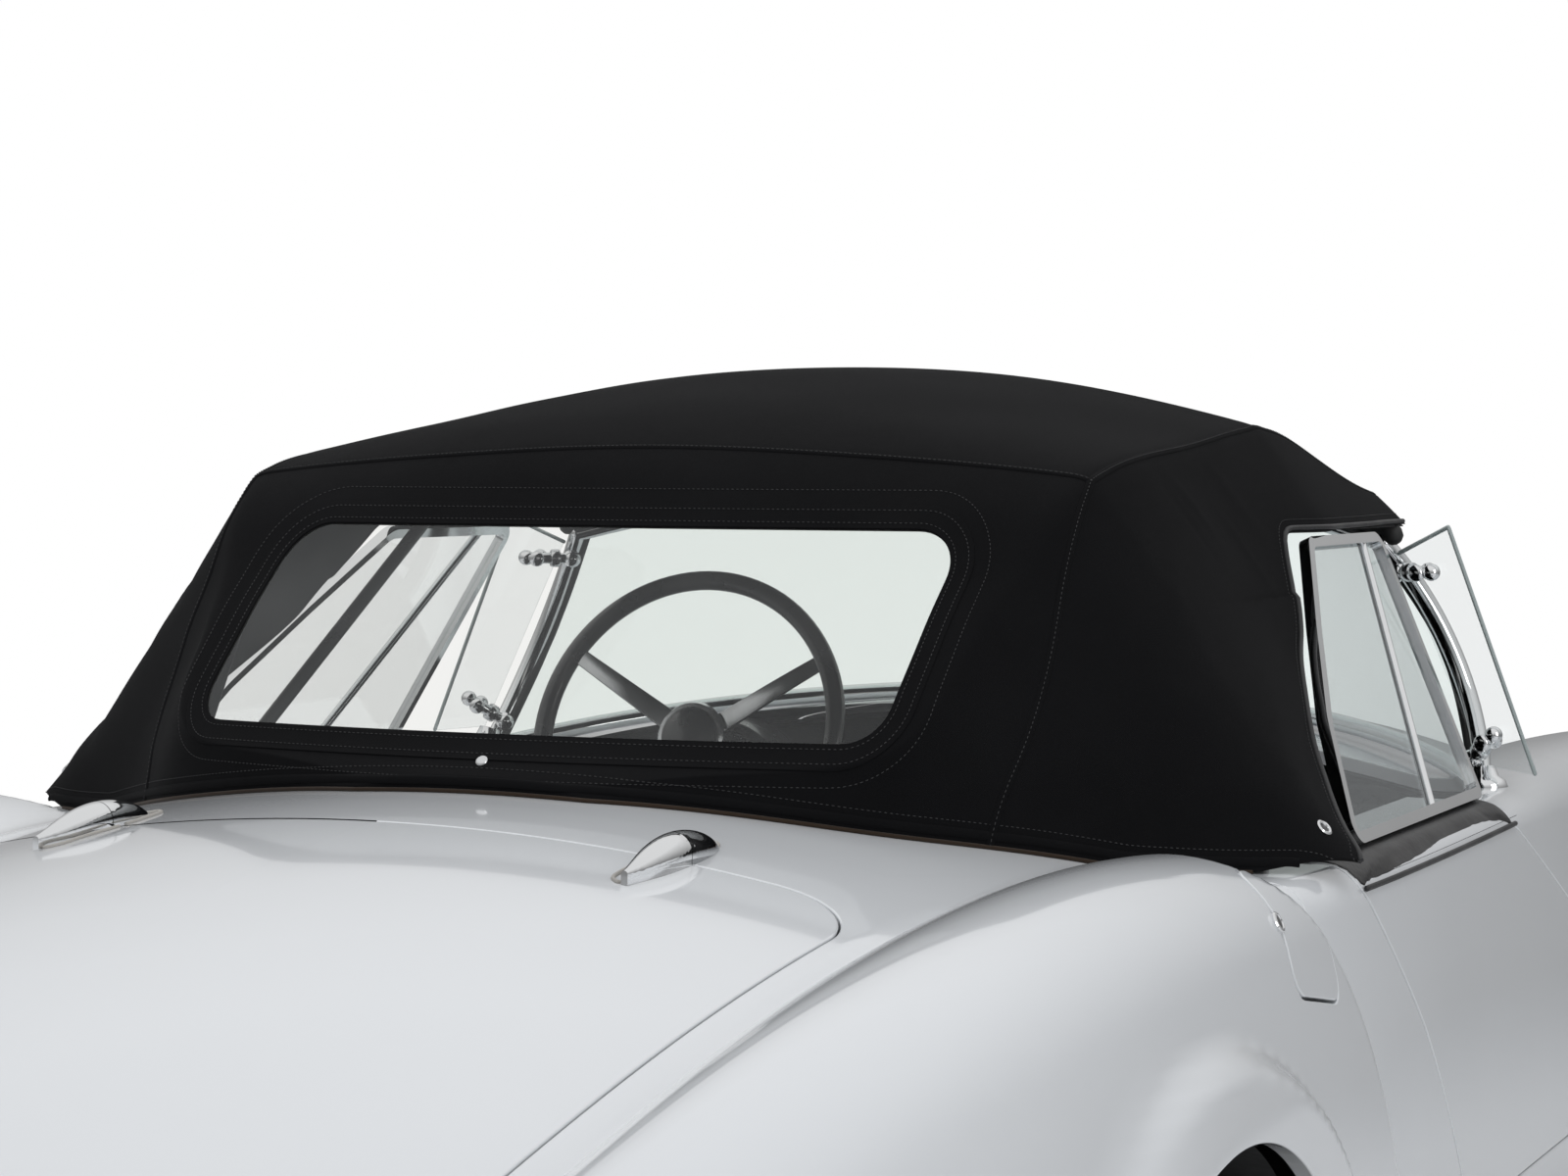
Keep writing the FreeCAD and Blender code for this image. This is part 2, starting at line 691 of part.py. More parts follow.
# The bonnet turns on two pins below its rear edge, on posts that stand on arms from the firewall
BONNET_PIN = Vector(105, BONNET_BACK_Y + 63, 892)
BONNET_PIN_RADIUS = 3
EAR = 4.5
ARM_LOW = 815
ARM_TOP = 838
lug = box(BONNET_PIN.x, BONNET_PIN.x + 12, BONNET_PIN.y - 13, BONNET_PIN.y + 13,
          BONNET_PIN.z - 12, BONNET_PIN.z + 18)
pin_reach = Vector(20, 0, 0)
lug = lug.cut(rod(BONNET_PIN - pin_reach, BONNET_PIN + pin_reach, BONNET_PIN_RADIUS + PIN_PLAY))
keep("bonnet", largest(bonnet_skin.multiFuse(both(lug))))
ear_start = BONNET_PIN + Vector(12.3, 0, 0)
post = box(ear_start.x, ear_start.x + 12, BONNET_PIN.y - EAR, BONNET_PIN.y + EAR, ARM_LOW, BONNET_PIN.z)
bonnet_arm = box(BONNET_PIN.x, ear_start.x + 12, FIREWALL_Y + plate + seat_gap, BONNET_PIN.y + EAR, ARM_LOW, ARM_TOP)
bonnet_hinge = bonnet_arm.multiFuse([
    post,
    rod(ear_start, ear_start + Vector(12, 0, 0), EAR),
    rod(BONNET_PIN - Vector(3, 0, 0), ear_start + Vector(6, 0, 0), BONNET_PIN_RADIUS),
])
keep("bonnet_hinges", Part.makeCompound(both(bonnet_hinge)))
keep("boot_lid", largest(lid_skin.common(plan_prism(grown(boot_outline, -GAP), 520, 1100))))
flap = haunch(0).cut(haunch(size("lid_wall"))).common(flap_prism(-GAP, -45, 80))
keep("fuel_flap", largest(flap))

# Padded roll around the rear of the cockpit

rim_outer = grown(cockpit_outline, -seat_gap)
rim_inner = grown(cockpit_outline, -20)
rim_band = plan_prism(rim_outer, 700, 1100).cut(plan_prism(rim_inner, 690, 1110))
rim = hull_middle(-6).cut(hull_middle(28)).common(rim_band)
rim = rim.common(box(-1000, 1000, -3000, DOOR_BACK_TOP - size("shut_gap"), 0, 1500))
keep("cockpit_rim", largest(rim))

# Windscreen: bowed pillars, a foot rail on the cowl, a head rail, and the clamps of the wind wings

FOOT_Y = FRONT_Y + size("screen_foot_y")
TUBE = size("screen_tube")
foot_end = Vector(size("screen_foot_half"), FOOT_Y, size("screen_foot_z"))
foot_top = Vector(0, FOOT_Y + 400, 930)
head_end = Vector(size("screen_head_half"), FOOT_Y + 16, size("screen_head_z"))
head_top = Vector(0, FOOT_Y + 166, 1212)
pillar_middle = Vector(600, FOOT_Y + 59, 1018)
belt_top = Vector(0, FOOT_Y + 288, 1070)


def across(point):
    return Vector(-point.x, point.y, point.z)


def screen_tubes(radius):
    """The four tubes of the windscreen frame, with round corners."""
    arcs = [
        Part.Arc(across(foot_end), foot_top, foot_end),
        Part.Arc(across(head_end), head_top, head_end),
        Part.Arc(foot_end, pillar_middle, head_end),
        Part.Arc(across(foot_end), across(pillar_middle), across(head_end)),
    ]
    tubes = [pipe([arc.toShape()], radius) for arc in arcs]
    corners = [Part.makeSphere(radius, point) for end in (foot_end, head_end) for point in (end, across(end))]
    return tubes[0].multiFuse(tubes[1:] + corners)


def crescent(end, top):
    """Section of the curved glass between its outer and inner faces."""
    arc = Part.Arc(across(end), top, end).toShape()
    centre = arc.Curve.Center
    shrink = 1 - size("glass") / arc.Curve.Radius
    inner = [centre + (point - centre) * shrink for point in (end, top, across(end))]
    return Part.Wire([
        arc,
        line(end, inner[0]),
        Part.Arc(inner[0], inner[1], inner[2]).toShape(),
        line(inner[2], across(end)),
    ])


WING_TOP = Vector(612, FOOT_Y - 15, 1160)
WING_LOW = Vector(718, FOOT_Y - 30, 880)
WING_ROOT_TOP = Vector(548, FOOT_Y + 10, 1128)
WING_ROOT_LOW = Vector(655, FOOT_Y - 8, 886)
wing_normal = (WING_LOW - WING_TOP).cross(WING_ROOT_TOP - WING_TOP).normalize()
WING_ROOT_LOW = WING_ROOT_LOW - wing_normal * (WING_ROOT_LOW - WING_TOP).dot(wing_normal)
cowl_seat = hull_middle(seat_gap * -1)
frame = screen_tubes(TUBE)
clamps = []
holes = []
for share in (0.12, 0.88):
    root = WING_ROOT_TOP + (WING_ROOT_LOW - WING_ROOT_TOP) * share
    tip = WING_TOP + (WING_LOW - WING_TOP) * share
    grip = root + (tip - root) * 0.3
    post = head_end + (foot_end - head_end) * share + Vector(0, 34 * math.sin(math.pi * share), 0)
    clamps.append(rod(post, grip - (grip - post).normalize() * -14, 7))
    clamps.append(Part.makeSphere(12, post))
    holes.append(rod(post, grip + (grip - post).normalize() * 40, 7 + seat_gap))
    clamps.append(Part.makeSphere(10, grip + (grip - post).normalize() * 16))
    holes.append(Part.makeSphere(10 + seat_gap, grip + (grip - post).normalize() * 16))
    holes.append(Part.makeSphere(12 + seat_gap, post))
right_frame = frame.multiFuse(clamps + [mirrored(clamp) for clamp in clamps])
screen_frame = largest(right_frame.cut(cowl_seat))
keep("windscreen_frame", screen_frame)
glass = Part.makeLoft([crescent(foot_end, foot_top), crescent(pillar_middle, belt_top),
                       crescent(head_end, head_top)], True, False)
glass = glass.cut(screen_tubes(TUBE + seat_gap)).cut(hull_middle(-2))
keep("windscreen_glass", largest(glass))
corners = [WING_ROOT_TOP, WING_TOP, WING_LOW, WING_ROOT_LOW]
pane = Part.Face(Part.makePolygon(corners + corners[:1])).extrude(wing_normal * size("glass"))
pane = pane.cut(Part.makeCompound(holes)).cut(screen_tubes(TUBE + 1))
pane = largest(pane)
keep("wind_wings", Part.makeCompound([pane, mirrored(pane)]))

# Soft top. Each row: place, dy, base_half and base_z (hem), waist_half and waist_z,
# shoulder_half and shoulder_z (side seam), middle (height on the centreline)

Bow = namedtuple("Bow", "place dy base_half base_z waist_half waist_z shoulder_half shoulder_z middle")
TOP = [
    Bow("front", -860, 560, 1120, 552, 1150, 500, 1186, 1232),
    Bow("front", -1060, 566, 1120, 556, 1160, 508, 1204, 1268),
    Bow("front", -1290, 572, 1120, 562, 1165, 492, 1254, 1322),
    Bow("front", -1440, 576, 1120, 566, 1160, 486, 1270, size("roof_height")),
    Bow("rear", 800, 690, 830, 594, 1058, 484, 1256, 1324),
    Bow("rear", 535, 732, 866, 632, 975, 466, 1217, 1246),
    Bow("rear", 440, 642, 862, 580, 960, 437, 1143, 1164),
    Bow("rear", 350, 508, 866, 474, 945, 408, 1060, 1090),
    Bow("rear", 255, 387, 892, 379, 942, 367, 974, 1010),
    Bow("rear", 205, 274, 906, 257, 934, 235, 955, 968),
    Bow("rear", 165, 134, 918, 120, 934, 95, 940, 946),
]


def canvas_section(bow, inset, wall):
    """The canvas between its outer face, moved in by inset, and its inner face."""
    y = PLACE[bow.place] + bow.dy

    def face(depth):
        base = Vector(bow.base_half - depth, y, bow.base_z)
        waist = Vector(bow.waist_half - depth, y, bow.waist_z)
        shoulder = Vector(bow.shoulder_half - depth * 0.7, y, bow.shoulder_z - depth * 0.8)
        return base, waist, shoulder, Vector(0, y, bow.middle - depth)

    base, waist, shoulder, middle = face(inset)
    base_in, waist_in, shoulder_in, middle_in = face(inset + wall)
    return Part.Wire([
        line(across(base), across(waist)),
        line(across(waist), across(shoulder)),
        Part.Arc(across(shoulder), middle, shoulder).toShape(),
        line(shoulder, waist),
        line(waist, base),
        line(base, base_in),
        line(base_in, waist_in),
        line(waist_in, shoulder_in),
        Part.Arc(shoulder_in, middle_in, across(shoulder_in)).toShape(),
        line(across(shoulder_in), across(waist_in)),
        line(across(waist_in), across(base_in)),
        line(across(base_in), across(base)),
    ])


def canvas_loft(inset, wall):
    return Part.makeLoft([canvas_section(bow, inset, wall) for bow in TOP], True, True)


RAIL = size("rail_height")
side_window = side_prism(rounded([
    (FRONT_Y - 800, RAIL, 0),
    (REAR_Y + 915, RAIL, 40),
    (REAR_Y + 815, 1058, 120),
    (REAR_Y + 630, 930, 120),
    (REAR_Y + 530, 868, 0),
    (REAR_Y + 520, 700, 0),
    (FRONT_Y - 800, 700, 0),
]), 0, 1000)
head_line = Part.Arc(Vector(-700, FOOT_Y - 60, 0), Vector(0, FOOT_Y + 186, 0),
                     Vector(700, FOOT_Y - 60, 0)).toShape()
behind_head = prism(Part.Wire([
    head_line,
    line(Vector(700, FOOT_Y - 60, 0), Vector(1000, -3000, 0)),
    line(Vector(1000, -3000, 0), Vector(-1000, -3000, 0)),
    line(Vector(-1000, -3000, 0), Vector(-700, FOOT_Y - 60, 0)),
]), Vector(0, 0, 2000))
window_outline = [(361, 981, 34), (367, 1170, 44), (-367, 1170, 44), (-361, 981, 34)]


def window_prism(amount):
    outline = grown(rounded(window_outline), amount)
    return placed(plan_prism(outline, 0, 400), Placement(Vector(0, REAR_Y + 600, 0), UPRIGHT))


canvas = canvas_loft(0, size("canvas"))
canvas = canvas.cut(Part.makeCompound(both(side_window))).common(behind_head).cut(window_prism(0))
canvas = canvas.cut(hull_middle(-seat_gap)).cut(Part.makeCompound(both(haunch(-seat_gap))))
canvas = canvas.cut(screen_tubes(TUBE + seat_gap)).cut(nodes["body_rear"].Shape)
keep("soft_top", largest(canvas))
window = canvas_loft(3, 3).common(window_prism(-seat_gap))
keep("rear_window", largest(window))

# Top bows: steel tubes that spring from pivots inside the cockpit sides

BOW = 8


def bow_tube(pivot, shoulder, middle):
    arch = pipe([Part.Arc(across(shoulder), middle, shoulder).toShape()], BOW)
    legs = both(rod(pivot, shoulder, BOW))
    joints = both(Part.makeSphere(BOW, shoulder))
    return arch.multiFuse(legs + joints)


pivot = Vector(size("cockpit_half") - 27, REAR_Y + 590, 800)
rear_bow = bow_tube(pivot, Vector(442, REAR_Y + 535, 1190), Vector(0, REAR_Y + 535, 1218))
main_bow = bow_tube(pivot, Vector(468, FRONT_Y - 1440, 1240),
                    Vector(0, FRONT_Y - 1440, size("roof_height") - 26))
hub_disc = Part.makeCylinder(22, 30, pivot - Vector(15, 0, 0), Vector(1, 0, 0))
bracket = box(pivot.x, pivot.x + 15, pivot.y - 92, pivot.y + 10, pivot.z - 15, pivot.z + 15)
upstand = box(pivot.x, pivot.x + 15, pivot.y - 92, pivot.y - 70, pivot.z, pivot.z + 100).common(inside)
bows = rear_bow.multiFuse([main_bow] + both(hub_disc) + both(bracket) + both(upstand))
keep("top_bows", largest(bows))

# Side screens: a tube frame with a slanting bar, and its clear panes, square to the leaning plane

SCREEN_LEAN = math.degrees(math.atan2(134, 277))
SCREEN_BASE = Vector(HALF - 90, 0, 873)
screen_turn = Placement(SCREEN_BASE, Rotation(
    FreeCAD.Matrix(0, -math.sin(math.radians(SCREEN_LEAN)), math.cos(math.radians(SCREEN_LEAN)), 0,
                   1, 0, 0, 0,
                   0, math.cos(math.radians(SCREEN_LEAN)), math.sin(math.radians(SCREEN_LEAN)), 0,
                   0, 0, 0, 1)))
SCREEN_TUBE = 6
screen_outline = rounded([
    (REAR_Y + 648, 0, 10),
    (REAR_Y + 735, 118, 60),
    (REAR_Y + 840, 210, 60),
    (REAR_Y + 958, 306, 30),
    (FRONT_Y - 1205, 306, 14),
    (FRONT_Y - 1280, 0, 14),
])
bar_top = Vector(FRONT_Y - 1271, 306, 0)
bar_low = Vector(FRONT_Y - 1480, 0, 0)


def screen_plate(outline, depth):
    return plan_prism(outline, -depth / 2, depth / 2)


ring = screen_plate(grown(screen_outline, SCREEN_TUBE), 2 * SCREEN_TUBE).cut(
    screen_plate(grown(screen_outline, -SCREEN_TUBE), 3 * SCREEN_TUBE))
bar = rod(bar_low, bar_top, SCREEN_TUBE - 1)
screen_ring = largest(ring.fuse(bar))
clear = screen_plate(grown(screen_outline, -SCREEN_TUBE - seat_gap), 3)
clear = clear.cut(rod(bar_low - (bar_top - bar_low) * 0.1, bar_top + (bar_top - bar_low) * 0.1,
                      SCREEN_TUBE - 1 + seat_gap))
for label, shape in (("side_screen_frame", screen_ring), ("side_screen_panes", clear)):
    leaning = placed(shape, screen_turn)
    keep(label + "_right", leaning)
    keep(label + "_left", mirrored(leaning))

# Dashboard: a rolled panel with a round instrument hood

DASH_Y = FRONT_Y + size("dash_front_y")
dash = side_prism(rounded([
    (DASH_Y - 40, 700, 18),
    (DASH_Y - 16, 850, 30),
    (DASH_Y + 75, 872, 24),
    (DASH_Y + 95, 700, 18),
]), -650, 650)
dash = dash.common(hull_middle(skin + seat_gap).common(box(-640, 640, 0, 1000, 0, 1200)))
hood_centre = Vector(size("wheel_x"), DASH_Y - 60, 812)
hood = Part.makeCylinder(92, 60, hood_centre, Vector(0, 1, 0)).cut(
    Part.makeCylinder(80, 14, hood_centre, Vector(0, 1, 0)))
keep("dashboard", largest(dash.fuse(hood).cut(column_rod(seat_gap))))

# Steering column, which points at the driver, and the gear lever on the tunnel

box_end = hub + down * COLUMN_END
box_start = FIREWALL_Y + plate + seat_gap
steering_box = box(box_end.x - 45, box_end.x + 45, box_start, box_end.y + 60,
                   box_end.z - 60, box_end.z + 40)
keep("steering_column", column_rod(0).fuse(steering_box))
lever_foot = Vector(0, FRONT_Y - 1310, 425 + seat_gap)
lever = rod(lever_foot + Vector(0, 0, 4), lever_foot + Vector(0, -40, 210), 7).fuse(
    Part.makeSphere(22, lever_foot + Vector(0, -42, 222))).fuse(Part.makeCone(46, 16, 42, lever_foot))
keep("gear_lever", lever)

# Steering wheel: dark rim with three bright spokes

spokes = []
for angle in (0, 120, 240):
    arm = box(-11, 11, 20, size("wheel_rim_radius") - 4, -2, 2)
    arm.rotate(Vector(0, 0, 0), Vector(0, 0, 1), angle + 60)
    spokes.append(arm)
rim_ring = Part.makeTorus(size("wheel_rim_radius"), size("wheel_rim_tube"))
collar = Part.makeCylinder(30, 12, Vector(0, 0, -BOSS_DEPTH))
boss = Part.makeCone(44, 30, 34, Vector(0, 0, -34)).fuse(collar)
dish = Part.makeSphere(60, Vector(0, 0, -44)).common(Part.makeCylinder(44, 30, Vector(0, 0, 0)))
hand_wheel = rim_ring.multiFuse(spokes + [boss, dish])
hand_wheel.Placement = Placement(hub, Rotation(Vector(0, 0, 1), Vector(0, -math.cos(rake), math.sin(rake))))
keep("steering_wheel", hand_wheel)


# Pieces bound to the sheet by expressions

def bound(kind, label, **formulas):
    """A Part primitive whose sizes and place are expressions on the sheet."""
    item = doc.addObject("Part::" + kind, label)
    for name, formula in formulas.items():
        item.setExpression(name.replace("_", "."), formula)
    return item


def softened(base, radius):
    """The block with every edge rounded."""
    doc.recompute()
    item = doc.addObject("Part::Fillet", base.Name + "_round")
    item.Base = base
    item.Edges = [(index + 1, radius, radius) for index in range(len(base.Shape.Edges))]
    return item


def pair(label, right):
    """The piece and its mirror image as one sub-part."""
    left = doc.addObject("Part::Mirroring", label + "_mirror")
    left.Source = right
    left.Normal = Vector(1, 0, 0)
    together = doc.addObject("Part::Compound", label)
    together.Links = [right, left]
    together.Label = label
    nodes[label] = together


def pin_point(sketch, formula, edge, across_axis):
    """Ties the start of an edge to a formula along one axis, or to the other axis where it is nought."""
    if formula == "0":
        sketch.addConstraint(Sketcher.Constraint("PointOnObject", edge, 1, -2 if across_axis else -1))
        return
    kind = "DistanceX" if across_axis else "DistanceY"
    index = sketch.addConstraint(Sketcher.Constraint(kind, -1, 1, edge, 1, 50.0))
    sketch.setExpression(f"Constraints[{index}]", formula)


def turned(label, corners, turn):
    """A body revolved about the X axis from the corners (x, radius) of its section."""
    body = doc.addObject("PartDesign::Body", label)
    body.Label = label
    sketch = body.newObject("Sketcher::SketchObject", label + "_section")
    plane = next(item for item in body.Origin.OriginFeatures if item.Role == "XY_Plane")
    sketch.AttachmentSupport = (plane, [""])
    sketch.MapMode = "FlatFace"
    count = len(corners)
    start = [Vector(100 + 90 * math.cos(2 * math.pi * k / count), 100 + 90 * math.sin(-2 * math.pi * k / count), 0)
             for k in range(count)]
    for index in range(count):
        sketch.addGeometry(Part.LineSegment(start[index], start[(index + 1) % count]))
    for index in range(count):
        sketch.addConstraint(Sketcher.Constraint("Coincident", index, 2, (index + 1) % count, 1))
        pin_point(sketch, corners[index][0], index, True)
        pin_point(sketch, corners[index][1], index, False)
    solid = body.newObject("PartDesign::Revolution", label + "_turned")
    solid.Profile = (sketch, [""])
    solid.ReferenceAxis = (sketch, ["H_Axis"])
    solid.Angle = 360
    body.Tip = solid
    body.Placement = Placement(Vector(0, 0, 0), Rotation(Vector(0, 0, 1), turn))
    nodes[label] = body
    return body


# Wheels: steel disc with hub cap and brake drum, and a tyre between its flanges

CENTRE = "(Sizes.drum_depth + Sizes.hub_set)"
IN = CENTRE + " - Sizes.rim_width / 2"
OUT = CENTRE + " + Sizes.rim_width / 2"
LIP = "Sizes.rim_radius + Sizes.flange_height"
WHEEL = [
    ("0", "0"),
    ("0", "Sizes.drum_radius"),
    ("Sizes.drum_depth", "Sizes.drum_radius"),
    ("Sizes.drum_depth + 4", "Sizes.rim_radius - 34"),
    (IN + " + 14", "Sizes.rim_radius - 14"),
    (IN + " - 8", "Sizes.rim_radius - 6"),
    (IN + " - 8", LIP),
    (IN, LIP),
    (IN, "Sizes.rim_radius"),
    (OUT, "Sizes.rim_radius"),
    (OUT, LIP),
    (OUT + " + 8", LIP),
    (OUT + " + 8", "Sizes.rim_radius - 6"),
    (OUT + " - 14", "Sizes.rim_radius - 14"),
    (CENTRE + " + 12", "Sizes.rim_radius - 18"),
    (CENTRE + " + 10", "Sizes.drum_radius + 24"),
    (CENTRE + " + 27", "Sizes.drum_radius - 6"),
    (CENTRE + " + 20", "Sizes.cap_radius"),
    (CENTRE + " + 34", "Sizes.cap_radius * 0.76"),
    (CENTRE + " + 43", "Sizes.cap_radius * 0.4"),
    (CENTRE + " + 46", "0"),
]
MIDDLE = "Sizes.tyre_width / 2"
BEAD = "Sizes.rim_width / 2 - Sizes.seat_gap"
SEAT = "Sizes.rim_radius + Sizes.seat_gap"
TYRE = [
    (f"{MIDDLE} - ({BEAD})", SEAT),
    (f"{MIDDLE} + ({BEAD})", SEAT),
    (f"{MIDDLE} + ({BEAD})", LIP + " + 2"),
    ("Sizes.tyre_width - 6", LIP + " + 12"),
    ("Sizes.tyre_width", "(Sizes.rim_radius + Sizes.tyre_radius) / 2 - 4"),
    ("Sizes.tyre_width - 5", "Sizes.tyre_radius - 28"),
    ("Sizes.tyre_width - 22", "Sizes.tyre_radius - 6"),
    ("Sizes.tyre_width - 50", "Sizes.tyre_radius"),
    ("50", "Sizes.tyre_radius"),
    ("22", "Sizes.tyre_radius - 6"),
    ("5", "Sizes.tyre_radius - 28"),
    ("0", "(Sizes.rim_radius + Sizes.tyre_radius) / 2 - 4"),
    ("6", LIP + " + 12"),
    (f"{MIDDLE} - ({BEAD})", LIP + " + 2"),
]
AXLES = (("front", FRONT_FORMULA, "Sizes.front_track"), ("rear", REAR_FORMULA, "Sizes.rear_track"))
for end, y_formula, track in AXLES:
    for side, sign, turn in (("right", "", 0), ("left", "-", 180)):
        for kind, section, offset in (("wheel", WHEEL, CENTRE), ("tyre", TYRE, MIDDLE)):
            item = turned(f"{kind}_{end}_{side}", section, turn)
            item.setExpression("Placement.Base.x", f"{sign}({track} / 2 - {offset})")
            item.setExpression("Placement.Base.y", y_formula)
            item.setExpression("Placement.Base.z", "Sizes.tyre_radius")

# Seats: two cushions on the floor and two leaning backs

CUSHION_X = "(Sizes.seat_spacing - Sizes.cushion_width) / 2"
FLOOR = "Sizes.underside + Sizes.skin + Sizes.seat_gap"
LEAN = "(Sizes.back_lean * 1 deg)"
cushion = bound("Box", "cushion", Length="Sizes.cushion_width", Width="Sizes.cushion_depth",
                Height="Sizes.cushion_height", Placement_Base_x=CUSHION_X,
                Placement_Base_y=REAR_FORMULA + " + Sizes.seat_place", Placement_Base_z=FLOOR)
pair("seat_cushions", softened(cushion, size("seat_round")))
back = doc.addObject("Part::Box", "back")
back.Placement = Placement(Vector(0, 0, 0), Rotation(Vector(1, 0, 0), size("back_lean")))
for name, formula in (
        ("Length", "Sizes.cushion_width"), ("Width", "Sizes.back_depth"), ("Height", "Sizes.back_height"),
        ("Placement.Base.x", CUSHION_X),
        ("Placement.Base.y", f"{REAR_FORMULA} + Sizes.seat_place - (Sizes.back_depth - Sizes.seat_round) * cos{LEAN}"
                             f" + Sizes.seat_round * sin{LEAN} - Sizes.seat_round - Sizes.seat_gap"),
        ("Placement.Base.z", FLOOR + " + 60")):
    back.setExpression(name, formula)
pair("seat_backs", softened(back, size("seat_round")))

# Engine: one plain block on the front crossmember

ENGINE_Y = FRONT_FORMULA + " - Sizes.engine_length + 40"
engine = bound("Box", "engine", Length="Sizes.engine_width", Width="Sizes.engine_length",
               Height="Sizes.engine_height", Placement_Base_x="-Sizes.engine_width / 2",
               Placement_Base_y=ENGINE_Y, Placement_Base_z="Sizes.beam_top + Sizes.seat_gap")
engine_round = softened(engine, 40)
engine_round.Label = "engine_block"
nodes["engine_block"] = engine_round

# Front suspension: a crossmember with a sliding pillar at each end, and a knuckle on each pillar

KINGPIN_X = size("front_track") / 2 - size("kingpin_offset")
BEAM_TOP = size("beam_top")
PILLAR_LOW = AXLE_Z - size("pillar_length") / 2
PILLAR_TOP = AXLE_Z + size("pillar_length") / 2
beam = box(-KINGPIN_X, KINGPIN_X, FRONT_Y - BEAM_HALF, FRONT_Y + BEAM_HALF, BEAM_TOP - 55, BEAM_TOP)
arm = box(380, KINGPIN_X, FRONT_Y - 24, FRONT_Y + 24, PILLAR_TOP - 14, PILLAR_TOP)
post = box(380, 420, FRONT_Y - 24, FRONT_Y + 24, BEAM_TOP - 20, PILLAR_TOP)
eyes = [Part.makeCylinder(30, 55, Vector(KINGPIN_X, FRONT_Y, BEAM_TOP - 55)),
        Part.makeCylinder(24, 14, Vector(KINGPIN_X, FRONT_Y, PILLAR_TOP - 14))]
pillar_rod = Part.makeCylinder(size("pillar_radius"), PILLAR_TOP - BEAM_TOP + 40,
                               Vector(KINGPIN_X, FRONT_Y, BEAM_TOP - 40))
side_parts = [arm, post, pillar_rod] + eyes
suspension = beam.multiFuse(side_parts + [mirrored(item) for item in side_parts])
keep("front_suspension", suspension)

sleeve_low = BEAM_TOP + 8
sleeve_top = PILLAR_TOP - 22
DRUM_FACE = size("front_track") / 2 - size("drum_depth") - size("hub_set")
sleeve = Part.makeCylinder(size("pillar_radius") + 9, sleeve_top - sleeve_low,
                           Vector(KINGPIN_X, FRONT_Y, sleeve_low))
bridge = Part.makeCylinder(21, DRUM_FACE - seat_gap - KINGPIN_X,
                           Vector(KINGPIN_X, FRONT_Y, AXLE_Z), Vector(1, 0, 0))
shield = Part.makeCylinder(size("drum_radius") - 12, 5,
                           Vector(DRUM_FACE - 5 - seat_gap, FRONT_Y, AXLE_Z), Vector(1, 0, 0))
bore = Part.makeCylinder(size("pillar_radius") + seat_gap, 900, Vector(KINGPIN_X, FRONT_Y, 0))
knuckle = sleeve.multiFuse([bridge, shield]).cut(bore)
keep("knuckle_right", knuckle)
keep("knuckle_left", mirrored(knuckle))

# Rear axle: hub carriers on a tube that bends round the transaxle, and two leaf springs

REAR_FACE = size("rear_track") / 2 - size("drum_depth") - size("hub_set")
axle_tube = size("axle_tube")
carrier = Part.makeCylinder(size("drum_radius") - 12, 30,
                            Vector(REAR_FACE - 30 - seat_gap, REAR_Y, AXLE_Z), Vector(1, 0, 0))
tube_points = [
    Vector(REAR_FACE - 20, REAR_Y - 70, AXLE_Z),
    Vector(430, REAR_Y - 70, AXLE_Z),
    Vector(330, REAR_Y - 190, AXLE_Z - 20),
]
tube_points += [across(point) for point in reversed(tube_points)]
de_dion = pipe(bent_path(tube_points, 0.3), axle_tube)
SPRING_X = 318
leaf = prism(Part.Wire([
    Part.Arc(Vector(SPRING_X - 25, REAR_Y + 400 - plate - seat_gap - plate, 262), Vector(SPRING_X - 25, REAR_Y - 60, AXLE_Z - 92),
             Vector(SPRING_X - 25, REAR_Y - 540, 262)).toShape(),
    line(Vector(SPRING_X - 25, REAR_Y - 540, 262), Vector(SPRING_X - 25, REAR_Y - 540, 282)),
    Part.Arc(Vector(SPRING_X - 25, REAR_Y - 540, 282), Vector(SPRING_X - 25, REAR_Y - 60, AXLE_Z - 60),
             Vector(SPRING_X - 25, REAR_Y + 400 - plate - seat_gap - plate, 282)).toShape(),
    line(Vector(SPRING_X - 25, REAR_Y + 400 - plate - seat_gap - plate, 282),
         Vector(SPRING_X - 25, REAR_Y + 400 - plate - seat_gap - plate, 262)),
]), Vector(50, 0, 0))
hanger = box(SPRING_X - 25, SPRING_X + 25, REAR_Y + 380 - plate, REAR_Y + 400 - plate - seat_gap, 240, 340)
perch = box(SPRING_X - 20, SPRING_X + 20, REAR_Y - 190, REAR_Y - 120, AXLE_Z - 75, AXLE_Z - 20)
shackle = box(SPRING_X - 25, SPRING_X + 25, REAR_Y - 540, REAR_Y - 515, 150, 275).common(inside)
rear_parts = [carrier, leaf, hanger, perch, shackle]
keep("rear_axle", de_dion.multiFuse(rear_parts + [mirrored(item) for item in rear_parts]))

# Transaxle with its half shafts and the propeller shaft from the engine

case = Part.makeCylinder(120, 190, Vector(-95, REAR_Y, AXLE_Z), Vector(1, 0, 0)).fuse(
    Part.makeCone(112, 60, 300, Vector(0, REAR_Y + 40, AXLE_Z), Vector(0, 1, 0)))
shafts = rod(Vector(-REAR_FACE + 30.6, REAR_Y, AXLE_Z), Vector(REAR_FACE - 30.6, REAR_Y, AXLE_Z), 17)
SHAFT_END = FRONT_Y - size("engine_length") + 40 - seat_gap
propeller = rod(Vector(0, REAR_Y + 300, AXLE_Z - 20), Vector(0, SHAFT_END, AXLE_Z - 20), size("shaft_radius"))
keep("transaxle", case.multiFuse([shafts, propeller]))

# Exhaust: a pipe under the floor on the left, with a muffler behind the axle

